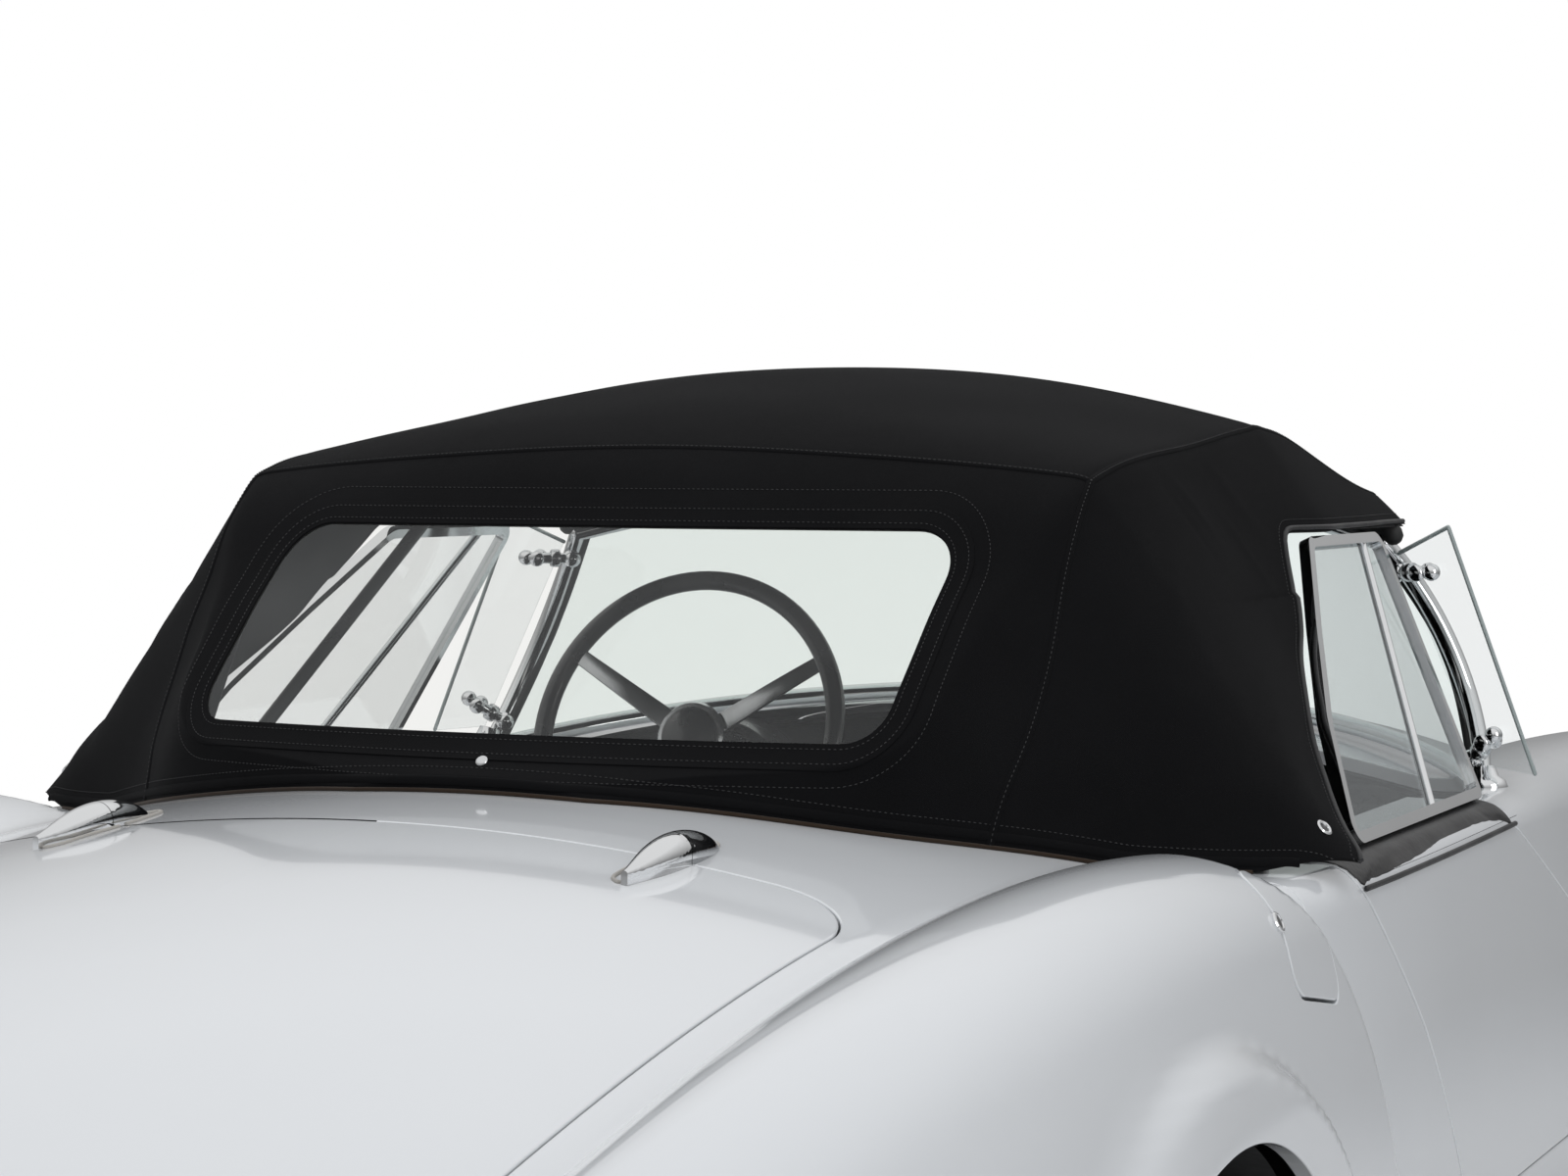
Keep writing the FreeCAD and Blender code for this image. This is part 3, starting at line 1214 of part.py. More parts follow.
pipe_radius = size("pipe_radius")
PIPE_Z = UNDER - pipe_radius - 8
route = [
    Vector(-150, FRONT_Y - 420, BEAM_TOP - 5),
    Vector(-150, FRONT_Y - 430, PIPE_Z + 24),
    Vector(-190, FRONT_Y - 640, PIPE_Z),
    Vector(-250, FRONT_Y - 900, PIPE_Z),
    Vector(-250, REAR_Y - 420, PIPE_Z),
    Vector(-250, TAIL_Y + 110, PIPE_Z + 30),
    Vector(-250, TAIL_Y - 10, PIPE_Z + 34),
]
exhaust = pipe(bent_path(route), pipe_radius)
muffler = Part.makeCylinder(size("muffler_radius"), 360,
                            Vector(-250, REAR_Y - 790, PIPE_Z - 12), Vector(0, 1, 0))
straps = [box(-262, -238, y, y + 24, PIPE_Z, UNDER - seat_gap) for y in (REAR_Y + 620, FRONT_Y - 1100)]
keep("exhaust", exhaust.multiFuse([muffler] + straps))

# Lamps

grown_hull = hull(-seat_gap)
lamp_radius = size("headlamp_radius")


def dome(radius, bulge, centre, direction):
    """A lens: the cap of a sphere, bulge high over its rim."""
    ball = (radius ** 2 + bulge ** 2) / (2 * bulge)
    sphere = Part.makeSphere(ball, centre - direction * (ball - bulge))
    return sphere.common(Part.makeCylinder(radius, bulge + 1, centre, direction))


ahead = Vector(0, 1, 0)
bowl = Part.makeCylinder(lamp_radius - seat_gap, 46, HEADLAMP - ahead * 46, ahead)
bezel = Part.makeCone(lamp_radius + 13, lamp_radius + 2, 14, HEADLAMP + ahead * seat_gap, ahead)
lens = dome(lamp_radius - 6, 26, HEADLAMP + ahead * 13, ahead)
TURN_LAMP = Vector(HALF - 236, NOSE_Y - 22, 490)
turn_lens = dome(28, 12, TURN_LAMP + ahead * 14.9, ahead)
turn = Part.makeCylinder(28, 60, TURN_LAMP - ahead * 45, ahead).fuse(turn_lens)
turn = largest(turn.cut(grown_hull))
lamps = [bowl.multiFuse([bezel, lens]), turn]
keep("front_lamps", Part.makeCompound(lamps + [mirrored(item) for item in lamps]))

TAIL_LAMP = Vector(HALF - 235, TAIL_Y - 6, 545)
tail_radius = size("tail_lamp_radius")
tail_lens = dome(tail_radius, 16, TAIL_LAMP + ahead * 0.1, ahead * -1)
tail = Part.makeCylinder(tail_radius, 40, TAIL_LAMP, ahead).fuse(tail_lens)
tail = largest(tail.cut(haunch(-seat_gap)).cut(full))
keep("tail_lamps", Part.makeCompound([tail, mirrored(tail)]))

# Grille: upright bars in a surround that fills the mouth

ring_depth = 24
surround = plan_prism(grown(grille_hole, -seat_gap), 0, ring_depth).cut(
    plan_prism(grown(grille_hole, -14), -1, ring_depth + 1))
bars = []
count = int(size("bar_count"))
for index in range(count):
    x = (index - (count - 1) / 2) * 2 * (size("grille_half") - 40) / count
    bars.append(box(x - 3, x + 3, 340, 350 + size("grille_height"), 5, 17))
mouth = plan_prism(grown(grille_hole, -10), 0, ring_depth)
fence = surround.multiFuse([item.common(mouth) for item in bars])
keep("grille", placed(fence, Placement(Vector(0, NOSE_Y - 4, 0), UPRIGHT)))

# Bumpers: a pair of half-bumpers at each end, on brackets

section = size("bumper_section")


def half_bumper(y_face, direction, z):
    """A half-bumper that wraps round the corner; direction is +1 ahead and -1 behind."""
    centre_y = y_face - direction * 19
    points = [
        Vector(size("bumper_start"), centre_y, z),
        Vector(HALF - 190, centre_y - direction * 7, z),
        Vector(HALF - 68, centre_y - direction * 67, z),
        Vector(HALF - 32, centre_y - direction * 176, z),
    ]
    path = Part.Wire(bent_path(points, 0.42))
    start = points[0]
    tall = section
    deep = 19
    profile = Part.Wire([
        line(start + Vector(0, -deep * direction, -tall + 12), start + Vector(0, -deep * direction, tall - 12)),
        Part.Arc(start + Vector(0, -deep * direction, tall - 12), start + Vector(0, deep * direction, 0),
                 start + Vector(0, -deep * direction, -tall + 12)).toShape(),
    ])
    blade = path.makePipeShell([profile], True, False)
    return blade


def bumper_pair(label, y_face, direction, z, reach):
    blade = half_bumper(y_face, direction, z)
    y_inner = y_face - direction * (2 * 19 - 4)
    y_body = y_face - direction * reach
    stay = box(250, 290, min(y_inner, y_body), max(y_inner, y_body), z - 16, z + 16)
    stay = stay.cut(grown_hull)
    stays = largest(stay)
    half = blade.fuse(stays)
    keep(label, Part.makeCompound([half, mirrored(half)]))


bumper_pair("front_bumpers", NOSE_Y + size("bumper_reach"), 1, 400, 120)
bumper_pair("rear_bumpers", TAIL_Y - size("bumper_reach"), -1, 430, 120)

# Boot hinges: chrome teardrops, the front piece on the deck and the long one on the lid

HINGE_X = size("boot_hinge_half")


def teardrop():
    """A half teardrop along the car, highest at the hinge line."""
    rows = [(80, 4, 4), (62, 12, 14), (20, 17, 22), (-20, 16, 20), (-60, 10, 11), (-90, 3, 4)]
    wires = []
    for dy, half_width, rise in rows:
        y = BOOT_HINGE_Y + dy
        base = BOOT_HINGE_Z - 26 - 14 - 0.00055 * dy * dy
        low = [Vector(HINGE_X - half_width, y, base), Vector(HINGE_X + half_width, y, base)]
        crest = base + 14 + rise
        wires.append(Part.Wire([
            line(low[0], low[1]),
            line(low[1], low[1] + Vector(0, 0, 14)),
            Part.Arc(low[1] + Vector(0, 0, 14), Vector(HINGE_X, y, crest), low[0] + Vector(0, 0, 14)).toShape(),
            line(low[0] + Vector(0, 0, 14), low[0]),
        ]))
    return Part.makeLoft(wires, True, False)


drop = teardrop()
hinge_front = drop.common(box(0, 1000, BOOT_HINGE_Y + 0.5, 0, 0, 2000)).cut(hull(-seat_gap))
hinge_rear = drop.common(box(0, 1000, -3000, BOOT_HINGE_Y - 0.5, 0, 2000)).cut(hull(-seat_gap))
hinge_front = largest(hinge_front)
hinge_rear = largest(hinge_rear)
keep("boot_hinge_bases", Part.makeCompound([hinge_front, mirrored(hinge_front)]))
keep("boot_hinge_arms", Part.makeCompound([hinge_rear, mirrored(hinge_rear)]))

# Every object is sound before anything is written

doc.recompute()
for item in doc.Objects:
    faults = [state for state in item.State if state in ("Invalid", "Error")]
    if faults:
        raise RuntimeError(f"{item.Label} is {faults}")
os.makedirs("parts", exist_ok=True)
for label, item in nodes.items():
    shape = item.Shape
    if shape.isNull() or not shape.Solids or not shape.isValid():
        raise RuntimeError(f"{label} is not a sound solid")
    shape.exportStep(f"parts/{label}.step")
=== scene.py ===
import math
from collections import namedtuple

import bmesh
import bpy
import numpy as np
from mathutils import Matrix, Vector
from mathutils.bvhtree import BVHTree


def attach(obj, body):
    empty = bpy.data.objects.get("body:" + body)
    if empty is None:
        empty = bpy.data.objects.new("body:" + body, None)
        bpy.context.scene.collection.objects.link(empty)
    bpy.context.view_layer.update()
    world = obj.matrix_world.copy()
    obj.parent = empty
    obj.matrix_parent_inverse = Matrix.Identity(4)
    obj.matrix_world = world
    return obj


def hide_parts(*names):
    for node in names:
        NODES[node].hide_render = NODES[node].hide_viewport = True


# Two-seat roadster with its soft top up. Metres; +X right, +Y forward, +Z up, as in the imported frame.

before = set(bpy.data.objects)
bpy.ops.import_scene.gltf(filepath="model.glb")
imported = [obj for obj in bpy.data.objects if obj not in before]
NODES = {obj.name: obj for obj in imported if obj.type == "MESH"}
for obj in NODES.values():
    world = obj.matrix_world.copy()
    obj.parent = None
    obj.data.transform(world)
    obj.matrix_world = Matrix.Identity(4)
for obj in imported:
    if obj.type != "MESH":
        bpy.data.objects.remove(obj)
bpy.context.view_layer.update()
MM = 0.001

HALF = 0.780
REAR_Y = -1.110
FRONT_Y = 1.340
TAIL_Y = -2.045
NOSE_Y = 2.045
AXLE_Z = 0.329
ARCH_RADIUS = 0.376
SPLIT_FRONT = 0.095
SPLIT_REAR = -0.210
PLACE = {"tail": TAIL_Y, "rear": REAR_Y, "front": FRONT_Y, "nose": NOSE_Y}

# Sections of the hull and of the rear haunch, in millimetres, as in the part's source

HULL_FIELDS = "low foot side waist roll crown_in crown_z valley_in valley_z middle"
HULL = [
    ("tail", 0, 345, 450, 300, 440, 26, 360, 512, 450, 522, 535),
    ("tail", 25, 300, 320, 190, 450, 40, 290, 590, 360, 604, 622),
    ("tail", 105, 262, 250, 140, 465, 50, 250, 664, 310, 682, 708),
    ("tail", 305, 232, 205, 110, 480, 55, 240, 730, 295, 750, 792),
    ("rear", -350, 212, 185, 100, 490, 55, 235, 790, 290, 812, 868),
    ("rear", 0, 198, 165, 85, 500, 55, 230, 842, 285, 862, 921),
    ("rear", 330, 190, 105, 50, 500, 45, 130, 860, 240, 868, 934),
    ("rear", 560, 190, 80, 24, 500, 40, 96, 860, 220, 864, 930),
    ("rear", 900, 190, 75, 20, 500, 42, 92, 860, 215, 862, 924),
    ("front", -1060, 190, 72, 20, 500, 48, 104, 862, 210, 862, 930),
    ("front", -780, 190, 72, 18, 500, 80, 140, 868, 240, 858, 928),
    ("front", -400, 190, 85, 12, 500, 115, 168, 866, 320, 826, 906),
    ("front", 0, 190, 120, 8, 500, 130, 176, 850, 350, 786, 872),
    ("front", 300, 200, 150, 12, 500, 130, 184, 820, 362, 748, 832),
    ("front", 510, 225, 210, 42, 494, 120, 206, 768, 380, 702, 784),
    ("nose", -85, 262, 300, 110, 486, 95, 252, 694, 410, 652, 720),
    ("nose", -22, 310, 400, 200, 478, 70, 330, 618, 470, 592, 644),
    ("nose", 0, 360, 520, 330, 470, 35, 395, 540, 500, 534, 560),
]
HAUNCH_FIELDS = "inner_in inner_z crown_in crown_z roll side waist low_in low_z"
HAUNCH = [
    ("tail", 12, 350, 560, 250, 612, 62, 165, 455, 240, 350),
    ("tail", 50, 315, 634, 226, 690, 86, 106, 475, 190, 300),
    ("tail", 125, 300, 690, 205, 752, 102, 62, 490, 150, 262),
    ("tail", 305, 285, 752, 186, 816, 112, 24, 505, 110, 232),
    ("rear", -380, 280, 806, 170, 868, 116, 8, 515, 92, 212),
    ("rear", -80, 272, 846, 158, 900, 114, 6, 520, 86, 200),
    ("rear", 180, 262, 858, 150, 902, 108, 6, 520, 84, 192),
    ("rear", 430, 250, 846, 146, 880, 100, 6, 520, 84, 190),
    ("rear", 690, 236, 820, 150, 840, 90, 8, 520, 84, 190),
]

# The haunch's leading edge as seen from the side: (y, z) up from the sill and back over the shoulder
LEADING_EDGE = [(-0.556, 0.15), (-0.556, 0.50), (-0.571, 0.581), (-0.590, 0.652), (-0.611, 0.717), (-0.646, 0.780),
                (-0.700, 0.835), (-0.752, 0.872), (-0.820, 0.900), (-0.900, 0.918), (-1.00, 0.930)]


# ---- curves through tables ----

def natural_cubic(knots, values, at):
    """A natural cubic curve through values at rising knots, read at the points asked for."""
    count = len(knots)
    gap = np.diff(knots)
    matrix = np.eye(count)
    right = np.zeros_like(values)
    for i in range(1, count - 1):
        matrix[i, i - 1] = gap[i - 1]
        matrix[i, i] = 2 * (gap[i - 1] + gap[i])
        matrix[i, i + 1] = gap[i]
        right[i] = 6 * ((values[i + 1] - values[i]) / gap[i] - (values[i] - values[i - 1]) / gap[i - 1])
    bent = np.linalg.solve(matrix, right)
    span = np.clip(np.searchsorted(knots, at) - 1, 0, count - 2)
    step = gap[span][:, None]
    low = (at - knots[span])[:, None]
    high = step - low
    return (bent[span] * high ** 3 + bent[span + 1] * low ** 3) / (6 * step) + (
        values[span] / step - bent[span] * step / 6) * high + (
        values[span + 1] / step - bent[span + 1] * step / 6) * low


class Table:
    """Section sizes that vary smoothly along the car."""

    def __init__(self, rows, fields):
        self.fields = fields.split()
        values = np.array([[PLACE[row[0]] + row[1] * MM] + [v * MM for v in row[2:]] for row in rows])
        chord = np.linalg.norm(np.diff(values[:, [0, 3, 6, 7]], axis=0), axis=1) ** 0.6
        knots = np.concatenate([[0], np.cumsum(chord)])
        self.fine = natural_cubic(knots, values, np.linspace(0, knots[-1], 3000))
        self.fine[:, 0] = np.maximum.accumulate(self.fine[:, 0])

    def at(self, y):
        return {name: np.interp(y, self.fine[:, 0], self.fine[:, k + 1]) for k, name in enumerate(self.fields)}


def arc(centre, start, end, count):
    """Points on the shorter arc about a centre, without its last point."""
    first = math.atan2(start[1] - centre[1], start[0] - centre[0])
    last = math.atan2(end[1] - centre[1], end[0] - centre[0])
    turn = (last - first + math.pi) % (2 * math.pi) - math.pi
    radius = math.hypot(start[0] - centre[0], start[1] - centre[1])
    angle = first + turn * np.linspace(0, 1, count, endpoint=False)
    return np.stack([centre[0] + radius * np.cos(angle), centre[1] + radius * np.sin(angle)], 1)


def flank(crown, waist, foot, roll):
    """Shoulder, side and bilge, down from the crown to the lower edge."""
    across = waist[0] - crown[0]
    rise = crown[1] - roll - waist[1]
    side_radius = (across ** 2 + rise ** 2 - roll ** 2) / (2 * (across - roll))
    side_centre = np.array([waist[0] - side_radius, waist[1]])
    roll_centre = np.array([crown[0], crown[1] - roll])
    shoulder = side_centre + (roll_centre - side_centre) * side_radius / (side_radius - roll)
    inward = waist[0] - foot[0]
    bilge_radius = (inward ** 2 + (waist[1] - foot[1]) ** 2) / (2 * inward)
    bilge_centre = (waist[0] - bilge_radius, waist[1])
    return [arc(roll_centre, crown, shoulder, 40), arc(side_centre, shoulder, waist, 60),
            arc(bilge_centre, waist, foot, 50)]


def swept(start, end, drop, count):
    """Points from start to end where the curve is level at end."""
    t = np.linspace(0, 1, count, endpoint=False)
    return np.stack([start[0] + (end[0] - start[0]) * t, end[1] - drop * (1 - t) ** 2], 1)


def hull_curve(p):
    """Right half of a hull section, from the top of the centreline round to its bottom."""
    valley = (HALF - p["valley_in"], p["valley_z"])
    crown = np.array([HALF - p["crown_in"], p["crown_z"]])
    t = np.linspace(0, 1, 90, endpoint=False)
    deck = np.stack([valley[0] * t, p["middle"] + (valley[1] - p["middle"]) * t ** 2], 1)
    shoulder = swept(valley, crown, crown[1] - valley[1], 30)
    low = (HALF - p["foot"], p["low"])
    floor = np.stack([np.linspace(low[0], 0, 30), np.full(30, low[1])], 1)
    return np.concatenate([deck, shoulder] + flank(crown, (HALF - p["side"], p["waist"]), low, p["roll"]) + [floor])


def haunch_curve(p):
    crown = np.array([HALF - p["crown_in"], p["crown_z"]])
    inner = (HALF - p["inner_in"], p["inner_z"])
    low = (HALF - p["low_in"], p["low_z"])
    wall = np.stack([np.full(30, inner[0]), np.linspace(p["low_z"], inner[1], 30, endpoint=False)], 1)
    top = swept(inner, crown, crown[1] - inner[1], 30)
    return np.concatenate([wall, top] + flank(crown, (HALF - p["side"], p["waist"]), low, p["roll"]))


def polar(points, centre, angles):
    """Distance from the centre to a closed outline at each angle."""
    away = points - centre
    angle = np.unwrap(np.arctan2(away[:, 1], away[:, 0]))
    reach = np.hypot(away[:, 0], away[:, 1])
    if angle[-1] < angle[0]:
        angle, reach = angle[::-1], reach[::-1]
    whole = np.concatenate([angle - 2 * math.pi, angle, angle + 2 * math.pi])
    return np.interp(angles, whole, np.tile(reach, 3))


def eased(t):
    t = np.clip(t, 0, 1)
    return t * t * (3 - 2 * t)


def quarter(t):
    """Rises at once from nothing and rounds over to level at one."""
    t = np.clip(t, 0, 1)
    return np.sqrt(np.clip(1 - (1 - t) ** 2, 0, 1))


hull_table = Table(HULL, HULL_FIELDS)
haunch_table = Table(HAUNCH, HAUNCH_FIELDS)
EDGE_KNOTS = np.array([p[1] for p in LEADING_EDGE])
EDGE_Y = np.array([[p[0]] for p in LEADING_EDGE])
EDGE_Z_FINE = np.linspace(EDGE_KNOTS[0], EDGE_KNOTS[-1], 400)
EDGE_Y_FINE = natural_cubic(EDGE_KNOTS, EDGE_Y, EDGE_Z_FINE)[:, 0]
ANGLES = np.linspace(math.pi, -math.pi, 1441)
VALLEY_FILLET = 0.012
EDGE_RADIUS = 0.034


def leading_edge(z):
    return np.interp(z, EDGE_Z_FINE, EDGE_Y_FINE)


class Skin:
    """The outer skin of the right half: hull and haunch together, read by place along the car and round the section."""

    def __init__(self, ys, columns):
        hulls = hull_table.at(ys)
        haunches = haunch_table.at(ys)
        share = np.linspace(0, 1, columns)
        self.ys = ys
        self.plain = np.zeros((len(ys), columns, 2))
        self.full = np.zeros((len(ys), columns, 2))
        for i, y in enumerate(ys):
            p = {name: values[i] for name, values in hulls.items()}
            centre = np.array([HALF - max(0.20, p["side"] + 0.06), p["waist"]])
            outline = hull_curve(p)
            mirror = outline[::-1] * (-1, 1)
            plain = polar(np.concatenate([outline, mirror]), centre, ANGLES)
            full = plain
            if HAUNCH_START < y < HAUNCH_END:
                q = {name: values[i] for name, values in haunches.items()}
                swell = polar(haunch_curve(q), centre, ANGLES)
                gap = (swell - plain) / VALLEY_FILLET
                full = plain + VALLEY_FILLET * np.logaddexp(0, gap * 1.6) / 1.6
                full = np.where(gap < -8, plain, full)
                full = plain + (full - plain) * quarter((y - HAUNCH_START) / 0.05)
            points = centre + full[:, None] * np.stack([np.cos(ANGLES), np.sin(ANGLES)], 1)
            bare = centre + plain[:, None] * np.stack([np.cos(ANGLES), np.sin(ANGLES)], 1)
            keep = points[:, 0] >= 0
            first, last = self.ends(points, keep)
            fine = np.linspace(first, last, 900)
            index = np.arange(len(ANGLES))
            points = np.stack([np.interp(fine, index, points[:, k]) for k in (0, 1)], 1)
            bare = np.stack([np.interp(fine, index, bare[:, k]) for k in (0, 1)], 1)
            length = np.concatenate([[0], np.cumsum(np.linalg.norm(np.diff(points, axis=0), axis=1))])
            at = share * length[-1]
            for k in (0, 1):
                self.full[i, :, k] = np.interp(at, length, points[:, k])
                self.plain[i, :, k] = np.interp(at, length, bare[:, k])

    @staticmethod
    def ends(points, keep):
        """Where the outline crosses the centreline at the top and at the bottom, as fractional indices."""
        crossings = np.nonzero(np.diff(keep.astype(int)))[0]
        found = []
        for c in crossings:
            x0, x1 = points[c, 0], points[c + 1, 0]
            found.append(c + x0 / (x0 - x1))
        return found[0], found[-1]

    def read(self, y, column):
        """Skin points for places y (any shape) on matching columns."""
        row = np.clip(np.searchsorted(self.ys, y) - 1, 0, len(self.ys) - 2)
        t = ((y - self.ys[row]) / (self.ys[row + 1] - self.ys[row]))[..., None]
        plain = self.plain[row, column] * (1 - t) + self.plain[row + 1, column] * t
        full = self.full[row, column] * (1 - t) + self.full[row + 1, column] * t
        behind = leading_edge(full[..., 1]) - y
        point = plain + (full - plain) * quarter(behind / EDGE_RADIUS)[..., None]
        x = point[..., 0] + arch_swell(point[..., 0], y, point[..., 1])
        return np.stack([x, y, point[..., 1]], -1)


HAUNCH_START = TAIL_Y + 0.004
HAUNCH_END = -0.42
FLARE_WIDTH = 0.086
FLARE_HEIGHT = 0.019
WIDEST = 0.7775


def arch_swell(x, y, z):
    """How far the eyebrow round each wheel arch stands out of the side."""
    total = np.zeros_like(x)
    for axle in (REAR_Y, FRONT_Y):
        away = np.hypot(y - axle, z - AXLE_Z)
        along = (away - ARCH_RADIUS + 0.01) / FLARE_WIDTH
        toward_rear = eased((axle - y + 0.02) / 0.30)
        crisp = 1 - eased((along - 0.70) / 0.30)
        soft = 1 - eased(along / 1.35)
        profile = crisp * (1 - toward_rear) + soft * toward_rear
        side = eased((x - 0.55) / 0.1) * eased((z - AXLE_Z + 0.06) / 0.16)
        total += FLARE_HEIGHT * profile * side * (along > -0.4)
    room = np.maximum(WIDEST - x, 0) / 0.004
    return np.minimum(total, 0.004 * np.where(room > 30, room, np.log1p(np.expm1(np.minimum(room, 30)))))


# ---- skins as triangle sheets ----

Sheet = namedtuple("Sheet", "points normals faces")
SHARP_DEGREES = 40


def grid_sheet(points):
    """A sheet from a grid of points, with normals from its own slopes."""
    along = np.gradient(points, axis=0)
    round_ = np.gradient(points, axis=1)
    normals = np.cross(round_, along)
    size = np.linalg.norm(normals, axis=2, keepdims=True)
    normals = normals / np.maximum(size, 1e-12)
    rows, columns = points.shape[:2]
    index = np.arange(rows * columns).reshape(rows, columns)
    a, b = index[:-1, :-1].ravel(), index[1:, :-1].ravel()
    c, d = index[1:, 1:].ravel(), index[:-1, 1:].ravel()
    faces = np.concatenate([np.stack([a, c, b], 1), np.stack([a, d, c], 1)])
    return Sheet(points.reshape(-1, 3), normals.reshape(-1, 3), faces)


def kept(sheet, distance):
    """The part of a sheet where distance is positive, cut exactly along distance nought."""
    points, normals, faces = sheet
    d = np.where(np.abs(distance) < 1e-6, 1e-6, distance)
    inside = d > 0
    count = inside[faces].sum(1)
    whole = faces[count == 3]
    new_points, new_normals, extra = [points], [normals], []
    edges = {}
    total = len(points)

    def crossing(i, j):
        nonlocal total
        key = (i, j) if i < j else (j, i)
        if key not in edges:
            t = d[i] / (d[i] - d[j])
            new_points.append((points[i] + (points[j] - points[i]) * t)[None])
            normal = normals[i] + (normals[j] - normals[i]) * t
            new_normals.append((normal / max(np.linalg.norm(normal), 1e-12))[None])
            edges[key] = total
            total += 1
        return edges[key]

    for face in faces[(count == 1) | (count == 2)]:
        a, b, c = face
        while not (inside[a] and not inside[c]):
            a, b, c = b, c, a
        if inside[b]:
            extra += [(a, b, crossing(b, c)), (a, crossing(b, c), crossing(c, a))]
        else:
            extra.append((a, crossing(a, b), crossing(c, a)))
    faces = np.concatenate([whole, np.array(extra, int).reshape(-1, 3)])
    points, normals = np.concatenate(new_points), np.concatenate(new_normals)
    used, faces = np.unique(faces, return_inverse=True)
    return Sheet(points[used], normals[used], faces.reshape(-1, 3))


def mirrored(sheet):
    normals = None if sheet.normals is None else sheet.normals * (-1, 1, 1)
    return Sheet(sheet.points * (-1, 1, 1), normals, sheet.faces[:, ::-1])


def joined(sheets):
    offset, faces = 0, []
    for sheet in sheets:
        faces.append(sheet.faces + offset)
        offset += len(sheet.points)
    normals = None if sheets[0].normals is None else np.concatenate([s.normals for s in sheets])
    return Sheet(np.concatenate([s.points for s in sheets]), normals, np.concatenate(faces))


def rim_edges(faces):
    """Directed edges that belong to one face only."""
    edges = np.concatenate([faces[:, [0, 1]], faces[:, [1, 2]], faces[:, [2, 0]]])
    key = edges[:, 0].astype(np.int64) * (faces.max() + 1) + edges[:, 1]
    back = edges[:, 1].astype(np.int64) * (faces.max() + 1) + edges[:, 0]
    return edges[~np.isin(key, back)]


def hemmed(sheet, radius, depth, seam=None):
    """The sheet with its free edges rolled over and turned in; seam says which edge points stay as cut."""
    points, normals, faces = sheet
    edges = rim_edges(faces)
    if seam is not None:
        held = seam(points)
        edges = edges[~(held[edges[:, 0]] & held[edges[:, 1]])]
    if not len(edges):
        return sheet
    out = np.zeros_like(points)
    run = points[edges[:, 1]] - points[edges[:, 0]]
    run /= np.maximum(np.linalg.norm(run, axis=1, keepdims=True), 1e-9)
    for end in (0, 1):
        np.add.at(out, edges[:, end], np.cross(run, normals[edges[:, end]]))
    rim = np.unique(edges)
    away = out[rim]
    away -= normals[rim] * (away * normals[rim]).sum(1, keepdims=True)
    away /= np.maximum(np.linalg.norm(away, axis=1, keepdims=True), 1e-9)
    slot = np.full(len(points), -1)
    slot[rim] = np.arange(len(rim))
    all_points, all_normals, all_faces = [points], [normals], [faces]
    offset = len(points)
    previous = rim
    for angle, extra in [(math.radians(a), 0.0) for a in (30, 60, 90)] + [(math.radians(90), depth)]:
        place = points[rim] + away * radius * math.sin(angle) - normals[rim] * (radius * (1 - math.cos(angle)) + extra)
        all_points.append(place)
        all_normals.append(normals[rim] * math.cos(angle) + away * math.sin(angle))
        current = offset + np.arange(len(rim))
        a, b = slot[edges[:, 0]], slot[edges[:, 1]]
        all_faces.append(np.stack([previous[a], current[a], current[b]], 1))
        all_faces.append(np.stack([previous[a], current[b], previous[b]], 1))
        previous = current
        offset += len(rim)
    return Sheet(np.concatenate(all_points), np.concatenate(all_normals), np.concatenate(all_faces))


def placed(name, data):
    """A new object in the scene."""
    item = bpy.data.objects.new(name, data)
    bpy.context.scene.collection.objects.link(item)
    return item


def welded(mesh, distance):
    work = bmesh.new()
    work.from_mesh(mesh)
    bmesh.ops.remove_doubles(work, verts=work.verts, dist=distance)
    work.to_mesh(mesh)
    work.free()


def as_modified(item):
    """The item's mesh with its modifiers applied; they are removed from the item."""
    mesh = bpy.data.meshes.new_from_object(item.evaluated_get(bpy.context.evaluated_depsgraph_get()))
    item.modifiers.clear()
    return mesh


def vertex_values(mesh, field="co"):
    values = np.empty(len(mesh.vertices) * 3)
    mesh.vertices.foreach_get(field, values)
    return values.reshape(-1, 3)


def piece(name, sheet, material, body, *nodes):
    """A finished mesh from a sheet, riding on a body and standing for the CAD nodes it replaces."""
    mesh = bpy.data.meshes.new(name)
    mesh.from_pydata(sheet.points.tolist(), [], sheet.faces.tolist())
    mesh.shade_smooth()
    if sheet.normals is None:
        welded(mesh, 1e-6)
        mesh.set_sharp_from_angle(angle=math.radians(SHARP_DEGREES))
    elif not mesh.validate():
        mesh.normals_split_custom_set_from_vertices(sheet.normals.tolist())
    item = placed(name, mesh)
    mesh.materials.append(material)
    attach(item, body)
    if nodes:
        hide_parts(*nodes)
    return item


# ---- outlines of the openings ----

BATCH = 4000


